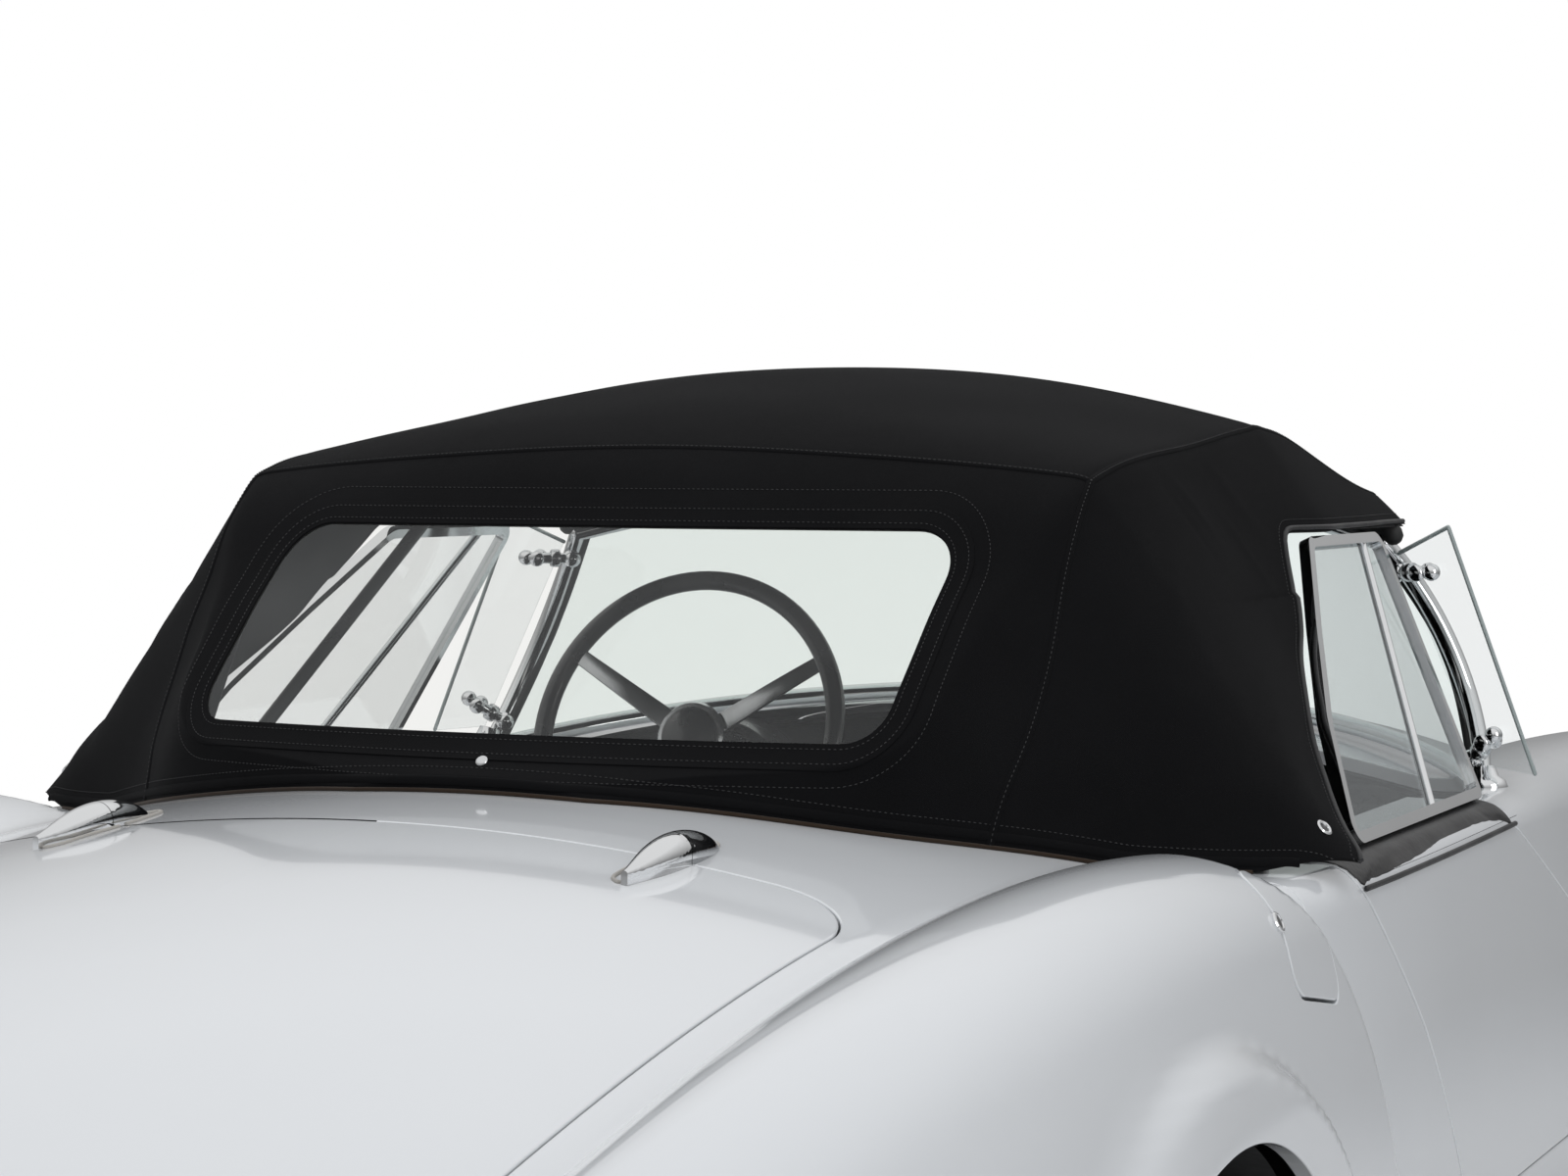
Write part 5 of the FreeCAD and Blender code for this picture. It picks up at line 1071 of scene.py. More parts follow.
def repeat_tree(name, inputs, build):
    """A Geometry Nodes tree with named inputs that ends in Realize Instances and Set Material."""
    tree = bpy.data.node_groups.new(name, "GeometryNodeTree")
    tree.interface.new_socket("Geometry", in_out="INPUT", socket_type="NodeSocketGeometry")
    for label, kind, value in inputs:
        socket = tree.interface.new_socket(label, in_out="INPUT", socket_type="NodeSocket" + kind)
        if value is not None:
            socket.default_value = value
    tree.interface.new_socket("Material", in_out="INPUT", socket_type="NodeSocketMaterial")
    tree.interface.new_socket("Geometry", in_out="OUTPUT", socket_type="NodeSocketGeometry")
    start = tree.nodes.new("NodeGroupInput")
    end = tree.nodes.new("NodeGroupOutput")

    def node(kind, **wires):
        made = tree.nodes.new(kind)
        for key, value in wires.items():
            key = key.replace("_", " ")
            if isinstance(value, bpy.types.NodeSocket):
                tree.links.new(value, made.inputs[key])
            elif key in made.inputs:
                made.inputs[key].default_value = value
            else:
                setattr(made, key.replace(" ", "_"), value)
        return made

    instances = build(node, start.outputs)
    real = node("GeometryNodeRealizeInstances", Geometry=instances)
    finish = node("GeometryNodeSetMaterial", Geometry=real.outputs[0], Material=start.outputs["Material"])
    tree.links.new(finish.outputs[0], end.inputs[0])
    return tree


def grown_by(tree, item, finish, **values):
    """The item's mesh made into what the tree grows on it."""
    grow = item.modifiers.new("grow", "NODES")
    grow.node_group = tree
    for socket in tree.interface.items_tree:
        if getattr(socket, "in_out", "") == "INPUT":
            if socket.name == "Material":
                grow[socket.identifier] = finish
            elif socket.name in values:
                grow[socket.identifier] = values[socket.name]
    item.data = as_modified(item)
    item.data.name = item.name
    return item


def row_of(shape):
    """Small parts set along lines, with their length along the line and their height away from the surface."""
    def build(node, start):
        line = node("GeometryNodeMeshToCurve", Mesh=start["Geometry"])
        spots = node("GeometryNodeResampleCurve", mode="LENGTH", Curve=line.outputs[0], Length=start["Spacing"])
        outward = node("GeometryNodeInputNamedAttribute", data_type="FLOAT_VECTOR", Name="outward")
        lie = node("FunctionNodeAlignRotationToVector", axis="X", Vector=node("GeometryNodeInputTangent").outputs[0])
        face = node("FunctionNodeAlignRotationToVector", axis="Z", pivot_axis="X", Rotation=lie.outputs[0],
                    Vector=outward.outputs["Attribute"])
        return node("GeometryNodeInstanceOnPoints", Points=spots.outputs[0], Instance=shape(node, start),
                    Rotation=face.outputs[0]).outputs[0]
    return build


def bead(node, start):
    ball = node("GeometryNodeMeshUVSphere", Segments=6, Rings=4, Radius=0.5)
    return node("GeometryNodeTransform", Geometry=ball.outputs[0], Scale=start["Size"]).outputs[0]


def soft_block(node, start):
    block = node("GeometryNodeMeshCube", Size=start["Size"])
    return node("GeometryNodeSubdivisionSurface", Mesh=block.outputs[0], Level=1, Edge_Crease=0.75).outputs[0]


ROW_SIZES = [("Spacing", "Float", 0.005), ("Size", "Vector", (0.0035, 0.0008, 0.0008))]
STITCHES = repeat_tree("stitches", ROW_SIZES, row_of(bead))
BLOCKS = repeat_tree("rows of blocks", ROW_SIZES, row_of(soft_block))


def line_mesh(name, lines):
    """A mesh of loose edges along the lines."""
    points, edges = [], []
    for line in lines:
        first = len(points)
        points += [tuple(p[:3]) for p in line]
        edges += [(first + k, first + k + 1) for k in range(len(line) - 1)]
    mesh = bpy.data.meshes.new(name)
    mesh.from_pydata(points, edges, [])
    outward = mesh.attributes.new("outward", "FLOAT_VECTOR", "POINT")
    outward.data.foreach_set("vector", np.concatenate([line[:, 3:6] for line in lines]).ravel())
    return placed(name, mesh)


def row(name, tree, lines, material, body, **sizes):
    """Repeated small parts along lines, riding on a body."""
    item = grown_by(tree, line_mesh(name, lines), material, **sizes)
    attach(item, body)
    return item


def stitched(name, lines, body, finish=None, length=0.0034, spacing=0.0052, width=0.0009):
    return row(name, STITCHES, lines, finish or THREAD, body, Spacing=spacing, Size=(length, width, width))


def weave_map(item):
    """Lays a map in metres over the mesh, seen from the side that each face looks to."""
    mesh = item.data
    look = np.empty(len(mesh.polygons) * 3)
    mesh.polygons.foreach_get("normal", look)
    total = np.empty(len(mesh.polygons), int)
    mesh.polygons.foreach_get("loop_total", total)
    side = np.repeat(np.abs(look.reshape(-1, 3)).argmax(1), total)
    vertex = np.empty(len(mesh.loops), int)
    mesh.loops.foreach_get("vertex_index", vertex)
    place = vertex_values(mesh)[vertex]
    picked = place[:, [0, 1]]
    for axis, plane in ((1, [0, 2]), (0, [1, 2])):
        picked[side == axis] = place[side == axis][:, plane]
    layer = mesh.uv_layers.new(name="weave")
    layer.data.foreach_set("uv", picked.ravel())
    return item


def cloth(name, sheet, material, body, *nodes):
    return weave_map(piece(name, sheet, material, body, *nodes))


# ---- soft top ----

BOW_FIELDS = "base_half base_z waist_half waist_z shoulder_half shoulder_z middle"
BOWS = [
    ("rear", 165, 134, 918, 120, 934, 95, 940, 946),
    ("rear", 205, 274, 906, 257, 934, 235, 955, 968),
    ("rear", 255, 387, 892, 379, 942, 367, 974, 1010),
    ("rear", 350, 508, 866, 474, 945, 408, 1060, 1090),
    ("rear", 440, 642, 862, 580, 960, 437, 1143, 1164),
    ("rear", 535, 732, 866, 632, 975, 466, 1217, 1246),
    ("rear", 800, 690, 830, 594, 1058, 484, 1256, 1324),
    ("front", -1440, 576, 1120, 566, 1160, 486, 1270, 1338),
    ("front", -1290, 572, 1120, 562, 1165, 492, 1254, 1322),
    ("front", -1060, 566, 1120, 556, 1160, 508, 1204, 1268),
    ("front", -860, 560, 1120, 552, 1150, 500, 1186, 1232),
]
BOW_REAR = REAR_Y + 0.535
BOW_MAIN = FRONT_Y - 1.440
SIDE_WINDOW = Outline([(0.640, 1.162, 0), (-0.195, 1.162, 0.040), (-0.295, 1.058, 0.120), (-0.480, 0.930, 0.120),
                       (-0.580, 0.868, 0), (-0.590, 0.700, 0), (0.640, 0.700, 0)])
REAR_WINDOW = Outline([(0.361, 0.981, 0.034), (0.367, 1.170, 0.044), (-0.367, 1.170, 0.044), (-0.361, 0.981, 0.034)])
HEADER_CENTRE = -0.673
HEADER_RADIUS = 1.119
CANVAS_ROWS = 330
SEAM_COLUMN = 72

# Pulls and folds in the canvas: start and end seen from the side (y, z), half width and height
CREASES = [
    ((-0.425, 1.226), (-0.380, 1.158), 0.010, 0.0030), ((-0.450, 1.215), (-0.415, 1.140), 0.009, -0.0022),
    ((-0.506, 1.169), (-0.642, 1.068), 0.009, -0.0034), ((-0.530, 1.130), (-0.668, 1.020), 0.010, 0.0026),
    ((-0.520, 1.020), (-0.710, 0.880), 0.010, -0.0046), ((-0.480, 1.010), (-0.670, 0.885), 0.011, 0.0036),
    ((-0.430, 0.985), (-0.600, 0.895), 0.010, -0.0026), ((-0.575, 1.205), (-0.560, 1.080), 0.012, 0.0028),
    ((-0.700, 1.040), (-0.742, 0.915), 0.010, -0.0024), ((-0.300, 1.240), (-0.250, 1.150), 0.012, 0.0020),
    ((-0.760, 1.000), (-0.800, 0.905), 0.010, 0.0020), ((-0.605, 1.240), (-0.760, 1.160), 0.016, 0.0012),
    ((-0.870, 1.010), (-0.905, 0.940), 0.012, 0.0016), ((-0.340, 1.200), (-0.300, 1.100), 0.010, 0.0020),
]

top_table = Table(BOWS, BOW_FIELDS)
bow_run = np.concatenate([[0], np.cumsum(np.linalg.norm(np.diff(top_table.fine[:, [0, 6, 7]], axis=0), axis=1))])
bow_at = np.linspace(0, bow_run[-1], CANVAS_ROWS)
bow_rows = np.stack([np.interp(bow_at, bow_run, top_table.fine[:, k]) for k in range(8)], 1)


def canvas_section(values):
    """Right half of the canvas at one place, from the centreline over the shoulder seam to the lower edge."""
    y, base_half, base_z, waist_half, waist_z, half, height, middle = values
    rise = max(middle - height, 1e-4)
    radius = (half ** 2 + rise ** 2) / (2 * rise)
    angle = np.linspace(0, math.asin(min(half / radius, 1)), SEAM_COLUMN, endpoint=False)
    crown = np.stack([radius * np.sin(angle), middle - radius * (1 - np.cos(angle))], 1)
    corners = np.array([(half, height), (waist_half, waist_z), (base_half, base_z)])
    side = [corners[0] + (corners[1] - corners[0]) * t for t in np.linspace(0, 1, 44, endpoint=False)]
    low = [corners[1] + (corners[2] - corners[1]) * t for t in np.linspace(0, 1, 26)]
    line = np.concatenate([crown, side, low])
    soft = np.pad(line, ((3, 3), (0, 0)), mode="edge")
    soft[:3] = line[3:0:-1] * (-1, 1)
    soft = np.stack([np.convolve(soft[:, k], [1, 2, 3, 4, 3, 2, 1], "valid") / 16 for k in (0, 1)], 1)
    soft[0, 0] = 0
    soft[-2:] = line[-2:]
    return np.column_stack([soft[:, 0], np.full(len(soft), y), soft[:, 1]])


def off_segment(points, start, end):
    start, run = np.array(start), np.array(end) - np.array(start)
    t = np.clip((points - start) @ run / (run @ run), 0, 1)
    return np.linalg.norm(points - start - run * t[:, None], axis=1), t


def canvas_pull(points, normals):
    """How far the canvas stands in or out of its stretched shape."""
    x, y, z = points.T
    lift = 0.0024 * np.exp(-((y - BOW_REAR) / 0.020) ** 2) + 0.0024 * np.exp(-((y - BOW_MAIN) / 0.024) ** 2)
    lift -= 0.0045 * np.exp(-((y - (BOW_REAR + BOW_MAIN) / 2) / 0.13) ** 2) * (z > 1.1)
    lift -= 0.0035 * np.exp(-((y - 0.20) / 0.14) ** 2) * (z > 1.1)
    side = np.clip(np.abs(normals[:, 0]) * 1.6 - 0.35, 0, 1)
    for start, end, width, height in CREASES:
        away, t = off_segment(points[:, [1, 2]], start, end)
        fades = np.sin(np.pi * np.clip(t * 0.9 + 0.05, 0, 1)) ** 0.7
        lift += height * np.exp(-(away / width) ** 2) * fades * side
    lift += 0.0009 * np.sin(31 * y + 9 * z) * np.sin(17 * x + 4) + 0.0006 * np.sin(53 * z + 23 * y + 11 * x)
    return lift


def settled(sheet):
    normals = sheet.normals.copy()
    normals[sheet.points[:, 0] < 1e-6, 0] = 0
    normals = unit(normals)
    return Sheet(sheet.points + normals * canvas_pull(sheet.points, normals)[:, None], normals, sheet.faces)


def off_header(points):
    return HEADER_RADIUS - np.hypot(points[:, 0], points[:, 1] - HEADER_CENTRE)


def off_side_window(points):
    return np.where(np.abs(points[:, 0]) > 0.30, SIDE_WINDOW.outside(points[:, [1, 2]]), 1.0)


def off_rear_window(points):
    return near_only(points, points[:, 1] < BOW_REAR, lambda p: REAR_WINDOW.outside(p[:, [0, 2]]))


whole_rear = both(raised(rear_grid, PROUD))
body_tree = BVHTree.FromPolygons(whole_rear.points.tolist(), whole_rear.faces.tolist())


def off_body(points):
    """Height above the painted skin, where that is small."""
    result = np.full(len(points), 1.0)
    for k in np.nonzero((points[:, 2] < 1.0) & (points[:, 1] < -0.30))[0]:
        place, look, _, away = body_tree.find_nearest(points[k])
        result[k] = away if (Vector(points[k]) - place).dot(look) > 0 else -away
    return result


canvas_grid = np.array([canvas_section(values) for values in bow_rows])
# Behind its rearmost section the canvas falls to the skin, where off_body cuts it
FALL = (0.0058, 0.040), (0.0042, 0.026), (0.0026, 0.014), (0.0012, 0.006)
canvas_grid = np.concatenate([[canvas_grid[0] - (0, back, down) for back, down in FALL], canvas_grid])
canvas_whole = settled(grid_sheet(canvas_grid))
canvas_half = cut(canvas_whole, off_header, off_side_window, off_rear_window, beyond(off_body, 0.0016))
canvas_sheet = both(canvas_half)
canvas = cloth("soft_top_canvas", canvas_sheet, CANVAS, "car", "soft_top")


headlining = cloth("headlining", turned(shifted(canvas_sheet, -0.0035)), LINING_CLOTH, "car")


def lines_both(lines):
    """The lines with their mirror images."""
    return lines + [line * (-1, 1, 1, -1, 1, 1) for line in lines]


def on_canvas(field, level, highest=9.0):
    """Lines on the canvas along which field is level, without those that rise above highest."""
    return [line for line in contours(canvas_half, field(canvas_half.points) - level) if line[:, 2].max() < highest]


def proud_of(lines, height):
    return [np.column_stack([line[:, :3] + unit(line[:, 3:]) * height, unit(line[:, 3:])]) for line in lines]


def strip(lines, width, height, material, name):
    """A flat raised band of cloth along lines."""
    bars = []
    for line in lines:
        count = max(int(np.linalg.norm(np.diff(line[:, :3], axis=0), axis=1).sum() / 0.006), 4)
        line = evenly(line, count)
        bars.append(along(line[:, :3], round_profile(width / 2, 10, 2 * height / width), unit(line[:, 3:])))
    return cloth(name, together(*bars), material, "car")


def canvas_line(stops):
    """A line across the canvas through (row, column) places of its grid."""
    path = smooth_path([(r + len(FALL), c, 0) for r, c in stops], 160)
    low = np.floor(path[:, :2]).astype(int)
    low = np.minimum(low, np.array(canvas_grid.shape[:2]) - 2)
    share = path[:, :2] - low
    spots = []
    for field in (canvas_whole.points, canvas_whole.normals):
        field = field.reshape(canvas_grid.shape)
        r, c, s, u = low[:, 0], low[:, 1], share[:, :1], share[:, 1:]
        spots.append((field[r, c] * (1 - s) + field[r + 1, c] * s) * (1 - u) +
                     (field[r, c + 1] * (1 - s) + field[r + 1, c + 1] * s) * u)
    line = np.column_stack(spots)
    return [line[(off_header(line[:, :3]) > 0) & (off_body(line[:, :3]) > 0.002)]]


BOW_ROW = int(np.argmin(np.abs(bow_rows[:, 0] - BOW_REAR)))
LAST_ROW = len(bow_rows) - 1
side_seam = canvas_line([(BOW_ROW, SEAM_COLUMN), (BOW_ROW + 60, SEAM_COLUMN), (LAST_ROW, SEAM_COLUMN)])
corner_seam = canvas_line([(BOW_ROW, SEAM_COLUMN), (85, 80), (60, 100), (49, 114), (41, 131), (39, 138)])
bow_seam = canvas_line([(BOW_ROW, 0), (BOW_ROW, 24), (BOW_ROW, 48), (BOW_ROW, SEAM_COLUMN)])
top_seams = side_seam + corner_seam + bow_seam
hem_edge = strip(lines_both(on_canvas(off_body, 0.0018, 0.96)), 0.0042, 0.0024, HEM_EDGE, "canvas_hem_edge")
hem_welt = strip(lines_both(on_canvas(off_body, 0.011, 0.99)), 0.0090, 0.0021, CANVAS, "canvas_hem_welt")
seam_welts = strip(lines_both(top_seams), 0.0085, 0.0016, CANVAS, "canvas_seam_welts")
band_half = shifted(cut(canvas_half, within(off_rear_window, -0.021)), 0.0012)
window_band = cloth("rear_window_binding", both(hemmed(band_half, 0.0006, 0.0010, lambda p: p[:, 0] < 1e-4)),
                    CANVAS, "car")
quarter_piping = strip(lines_both(on_canvas(off_side_window, 0.0035)), 0.0060, 0.0030, TRIM, "quarter_window_piping")

pane_half = shifted(cut(canvas_whole, within(off_rear_window, -0.012)), -0.0008)
vinyl = piece("rear_window_vinyl", both(pane_half), VINYL, "car", "rear_window")

top_stitches = [stitched(name, proud_of(lines_both(lines), height), "car") for name, lines, height in (
    ("hem_stitches", on_canvas(off_body, 0.021, 1.0), 0.0003),
    ("seam_stitches", top_seams, 0.0018),
    ("window_stitches", on_canvas(off_rear_window, 0.0045) + on_canvas(off_rear_window, 0.0165), 0.0014),
    ("window_cover_stitches", on_canvas(off_rear_window, 0.036), 0.0003),
    ("quarter_stitches", on_canvas(off_side_window, 0.012), 0.0003))]


def canvas_spot(y, z):
    """The point of the right quarter of the canvas that lies at (y, z) seen from the side."""
    points, normals = canvas_half.points, canvas_half.normals
    near = np.where(points[:, 0] > 0.30, np.hypot(points[:, 1] - y, points[:, 2] - z), 9)
    k = int(np.argmin(near))
    return points[k], normals[k]


EYELET_RADIUS = 0.0085
EYELET_RING = [(0.55, 0.0004), (0.62, 0.0016), (0.8, 0.0022), (1, 0.0012), (1, -0.0006), (0.55, -0.0006),
               (0.55, 0.0004)]
EYELET_CORE = [(0, -0.0008), (0.56, -0.0008), (0.56, 0.0003), (0, 0.0003)]
for name, outline, steps, finish in (("canvas_eyelets", EYELET_RING, 28, CHROME),
                                     ("canvas_eyelet_cores", EYELET_CORE, 24, BLACK)):
    profile = [(EYELET_RADIUS * radius, height) for radius, height in outline]
    piece(name, pairs(lathe(profile, *canvas_spot(-0.592, 0.899), steps)), finish, "car")
stud_place = canvas_half.points[np.argmin(np.hypot(canvas_half.points[:, 0], canvas_half.points[:, 2] - 0.958) +
                                          (canvas_half.points[:, 1] > -0.6))]
stud = lathe(dome_profile(0.0062, 0.0030, 0.0010), stud_place + (0, -0.0008, 0.0008), (0, -0.72, 0.69), 24)
piece("canvas_centre_stud", stud, ALLOY, "car")


# ---- nodes that keep their CAD shape ----

def finished(finish, *names):
    for name in names:
        slots = NODES[name].data.materials
        for index in range(len(slots)):
            slots[index] = finish
        if not len(slots):
            slots.append(finish)


SIDES = ("right", "left")
for finish, *names in (
        (CHROME, "windscreen_frame", "side_screen_frame_right", "side_screen_frame_left", "grille", "front_bumpers",
         "rear_bumpers", "boot_hinge_bases", "boot_hinge_arms"),
        (GLASS, "windscreen_glass"),
        (ACRYLIC, "wind_wings", "side_screen_panes_right", "side_screen_panes_left"),
        (PAINT, "door_right", "door_left"),
        (TRIM, "firewall", "rear_bulkhead"),
        (UNDER, "floor_pan"),
        (BLACK, "top_bows", "dashboard", "steering_column", "bonnet_hinges", "knuckle_right", "knuckle_left"),
        (IRON, "engine_block", "front_suspension", "rear_axle"),
        (STEEL, "exhaust"),
        (ALLOY, "transaxle"),
        (WHEEL, "wheel_front_right", "wheel_front_left", "wheel_rear_right", "wheel_rear_left")):
    finished(finish, *names)


# ---- padded pieces ----

STUFFING_PRESSURE = 4.0
STUFFING_FRAMES = 20


def stuffed(name, node, body, voxel, cap, slack, shape=None):
    """A leather piece in the space of its CAD solid, blown up by its stuffing and smoothed once."""
    mesh = NODES[node].data.copy()
    welded(mesh, 1e-5)
    mesh.materials.clear()
    item = placed(name, mesh)
    fine = item.modifiers.new("fine", "REMESH")
    fine.mode, fine.voxel_size = "VOXEL", voxel
    item.data = as_modified(item)
    start = vertex_values(item.data) - vertex_values(item.data, "normal") * slack
    item.data.vertices.foreach_set("co", start.ravel())
    stuffing = item.modifiers.new("stuffing", "CLOTH")
    stuffing.settings.use_pressure = True
    stuffing.settings.uniform_pressure_force = STUFFING_PRESSURE
    stuffing.settings.effector_weights.gravity = 0
    for number in range(1, STUFFING_FRAMES + 1):
        bpy.context.scene.frame_set(number)
    away = vertex_values(as_modified(item)) - start
    bpy.context.scene.frame_set(1)
    length = np.linalg.norm(away, axis=1, keepdims=True)
    start = start + away * np.minimum(1, cap / np.maximum(length, 1e-9))
    item.data.vertices.foreach_set("co", start.ravel())
    smooth = item.modifiers.new("smooth", "SUBSURF")
    smooth.levels = smooth.render_levels = 1
    item.data = as_modified(item)
    if shape:
        item.data.vertices.foreach_set("co", shape(vertex_values(item.data)).ravel())
    item.data.name = name
    item.data.shade_smooth()
    item.data.materials.clear()
    item.data.materials.append(LEATHER)
    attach(item, body)
    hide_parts(node)


SEAT_X = 0.350
BACK_MIDDLE = (0, -0.575, 0.50)
CHANNELS = np.arange(-2.5, 3) * 0.058


def channel_depth(across_):
    return sum(np.exp(-((across_ - c) / 0.0055) ** 2) for c in CHANNELS)


def sewn_cushion(p):
    """Pleats in the middle of each cushion and a softly crowned top."""
    across_ = np.abs(p[:, 0]) - SEAT_X
    length = np.clip((p[:, 1] + 0.45) / 0.03, 0, 1) * np.clip((-0.03 - p[:, 1]) / 0.03, 0, 1)
    top = np.clip((p[:, 2] - 0.34) / 0.03, 0, 1)
    crown = (1 - (across_ / 0.245) ** 2) * (1 - ((p[:, 1] + 0.23) / 0.24) ** 2)
    p[:, 2] += top * (0.014 * np.clip(crown, 0, 1) - 0.0075 * channel_depth(across_) * length)
    return p


LEAN = math.radians(14)
BACK_LOOK = np.array([0, math.cos(LEAN), math.sin(LEAN)])
BACK_UP = np.array([0, -math.sin(LEAN), math.cos(LEAN)])


def sewn_back(p):
    across_ = np.abs(p[:, 0]) - SEAT_X
    height = (p - BACK_MIDDLE) @ BACK_UP
    depth = (p - BACK_MIDDLE) @ BACK_LOOK
    front = np.clip(depth / 0.03, 0, 1)
    length = np.clip((height + 0.20) / 0.03, 0, 1) * np.clip((0.18 - height) / 0.03, 0, 1)
    return p - BACK_LOOK * (front * 0.0075 * channel_depth(across_) * length)[:, None]


stuffed("leather_cushions", "seat_cushions", "car", 0.009, 0.012, 0.004, sewn_cushion)
stuffed("leather_backs", "seat_backs", "car", 0.009, 0.012, 0.004, sewn_back)
for side in SIDES:
    stuffed(f"door_roll_pad_{side}", f"door_roll_{side}", f"door_{side[0]}", 0.005, 0.0035, 0.0014)
stuffed("cockpit_rim_pad", "cockpit_rim", "car", 0.006, 0.0035, 0.0014)


def rounded_loop(x0, x1, y0, y1, radius, z):
    corners = Outline([(x1, y0, radius), (x1, y1, radius), (x0, y1, radius), (x0, y0, radius)]).line
    return np.column_stack([evenly(np.concatenate([corners, corners[:1]]), 130)[:-1], np.full(129, z)])


def on_back(loop):
    """A loop laid out flat (across, height) moved onto the face of the seat back."""
    across_ = loop[:, :1] * (1, 0, 0)
    return np.add(BACK_MIDDLE, (SEAT_X, 0, 0)) + across_ + loop[:, 1:2] * BACK_UP + BACK_LOOK * loop[:, 2:3]


cushion_piping = tube(rounded_loop(0.124, 0.576, -0.452, -0.008, 0.05, 0.3915), 0.0042, 8, True)
back_piping = tube(on_back(rounded_loop(-0.226, 0.226, -0.20, 0.20, 0.05, 0.0560)), 0.0042, 8, True, tuple(BACK_LOOK))
piece("seat_piping", pairs(cushion_piping, back_piping), TRIM, "car")


# ---- door rolls: sewn edge and trim card ----

door_plain = cut(raised(door_grid, 0.0042), within(off_door, 0.004))
roll_line = evenly(max(contours(door_plain, door_plain.points[:, 2] - 0.8385), key=len), 90)
piping = tube(roll_line[:, :3], 0.0030, 8, up=(1, 0, 0))
stitch_line = [np.column_stack([roll_line[:, :3] + (0, 0, 0.0085) + roll_line[:, 3:] * 0.0008, roll_line[:, 3:]])]
for side, sign in (("right", 1), ("left", -1)):
    piece(f"door_roll_piping_{side}", piping if sign > 0 else mirrored(piping), TRIM, f"door_{side[0]}")
    stitched(f"door_roll_stitches_{side}",
             [line * (sign, 1, 1, sign, 1, 1) for line in stitch_line], f"door_{side[0]}")
card = cut(raised(door_grid[::3, ::3], -0.0675), within(off_door, 0.022), lambda p: 0.826 - p[:, 2])
card = hemmed(turned(card), 0.0015, 0.003)
piece("door_card_right", card, TRIM, "door_r")
piece("door_card_left", mirrored(card), TRIM, "door_l")


# ---- windscreen: rubber, clamps and end caps ----

FOOT_END, HEAD_END = np.array([0.652, 0.260, 0.858]), np.array([0.530, 0.276, 1.140])
PILLAR_MIDDLE = np.array([0.600, 0.319, 1.018])
pillar = smooth_path([FOOT_END, PILLAR_MIDDLE, HEAD_END], 50)
pillar_inner = pillar + (-0.0095, 0.0060, 0)
foot_cap = lathe([(0, -0.010), (0.024, -0.010), (0.026, -0.004), (0.024, 0.004), (0.017, 0.010), (0.014, 0.022),
                  (0, 0.023)],
                 FOOT_END + (0.004, -0.001, 0.004), (-0.18, 0.2, 1), 32)
head_cap = tube([HEAD_END + (0.012, -0.004, 0.010), HEAD_END + (0.004, -0.002, 0.020),
                 HEAD_END + (-0.035, 0.012, 0.030)],
                0.0125, 14)
piece("pillar_rubber", pairs(tube(pillar_inner, 0.0065, 10)), RUBBER, "car")
piece("pillar_feet", pairs(foot_cap), CHROME, "car")
piece("header_end_rubbers", pairs(head_cap), RUBBER, "car")

WING_TOP, WING_LOW = np.array([0.612, 0.245, 1.160]), np.array([0.718, 0.230, 0.880])
ROOT_TOP, ROOT_LOW = np.array([0.548, 0.270, 1.128]), np.array([0.655, 0.252, 0.886])
WING_NORMAL = unit(np.cross(WING_LOW - WING_TOP, ROOT_TOP - WING_TOP))
KNOB = [(0, 0.0), (0.0060, 0.0), (0.0064, 0.0012), (0.0088, 0.0030), (0.0098, 0.0052), (0.0098, 0.0090),
        (0.0084, 0.0112), (0.0050, 0.0124), (0, 0.0128)]
knobs, collars = [], []
for share in (0.12, 0.88):
    root = ROOT_TOP + (ROOT_LOW - ROOT_TOP) * share
    grip = root + (WING_TOP + (WING_LOW - WING_TOP) * share - root) * 0.3
    for sign in (-1, 1):
        knobs.append(lathe(KNOB, grip + WING_NORMAL * sign * 0.006, WING_NORMAL * sign, 24))
    post = HEAD_END + (FOOT_END - HEAD_END) * share + (0, 0.034 * math.sin(math.pi * share), 0)
    reach = unit(grip - post)
    collars.append(lathe([(0, 0), (0.0105, 0.0), (0.0115, 0.002), (0.0115, 0.010), (0.0105, 0.012), (0, 0.012)],
                         post + reach * 0.016, reach, 24))
piece("wing_clamp_knobs", pairs(*knobs), CHROME, "car")
piece("wing_clamp_collars", pairs(*collars), ALLOY, "car")
wing_corners = [ROOT_TOP, WING_TOP, WING_LOW]
along_edge = np.linspace(0.004, 0.996, 24)
wing_edges = [tube([a + (b - a) * t + WING_NORMAL * 0.0025 for t in along_edge], 0.0026, 8, up=(0, 1, 0.2))
              for a, b in zip(wing_corners, wing_corners[1:])]
piece("wing_polished_edges", pairs(*wing_edges), POLISHED_EDGE, "car")


# ---- fuel flap lock and boot hinge gaskets ----

def on_skin(x, y, z):
    place, look, _, _ = body_tree.find_nearest((x, y, z))
    return np.array(place), np.array(look)


lock_place, lock_look = on_skin(0.724, -0.838, 0.843)
lock_ring = lathe([(0.0062, -0.001), (0.0092, -0.001), (0.0098, 0.0016), (0.0088, 0.0030), (0.0068, 0.0034),
                   (0.0062, 0.0020), (0.0062, -0.001)], lock_place, lock_look, 32)
lock_core = lathe([(0, -0.001), (0.0064, -0.001), (0.0064, 0.0022), (0.0040, 0.0028), (0, 0.0028)], lock_place,
                  lock_look, 28)
piece("fuel_flap_lock_ring", lock_ring, CHROME, "flap")
piece("fuel_flap_lock_core", lock_core, BLACK, "flap")

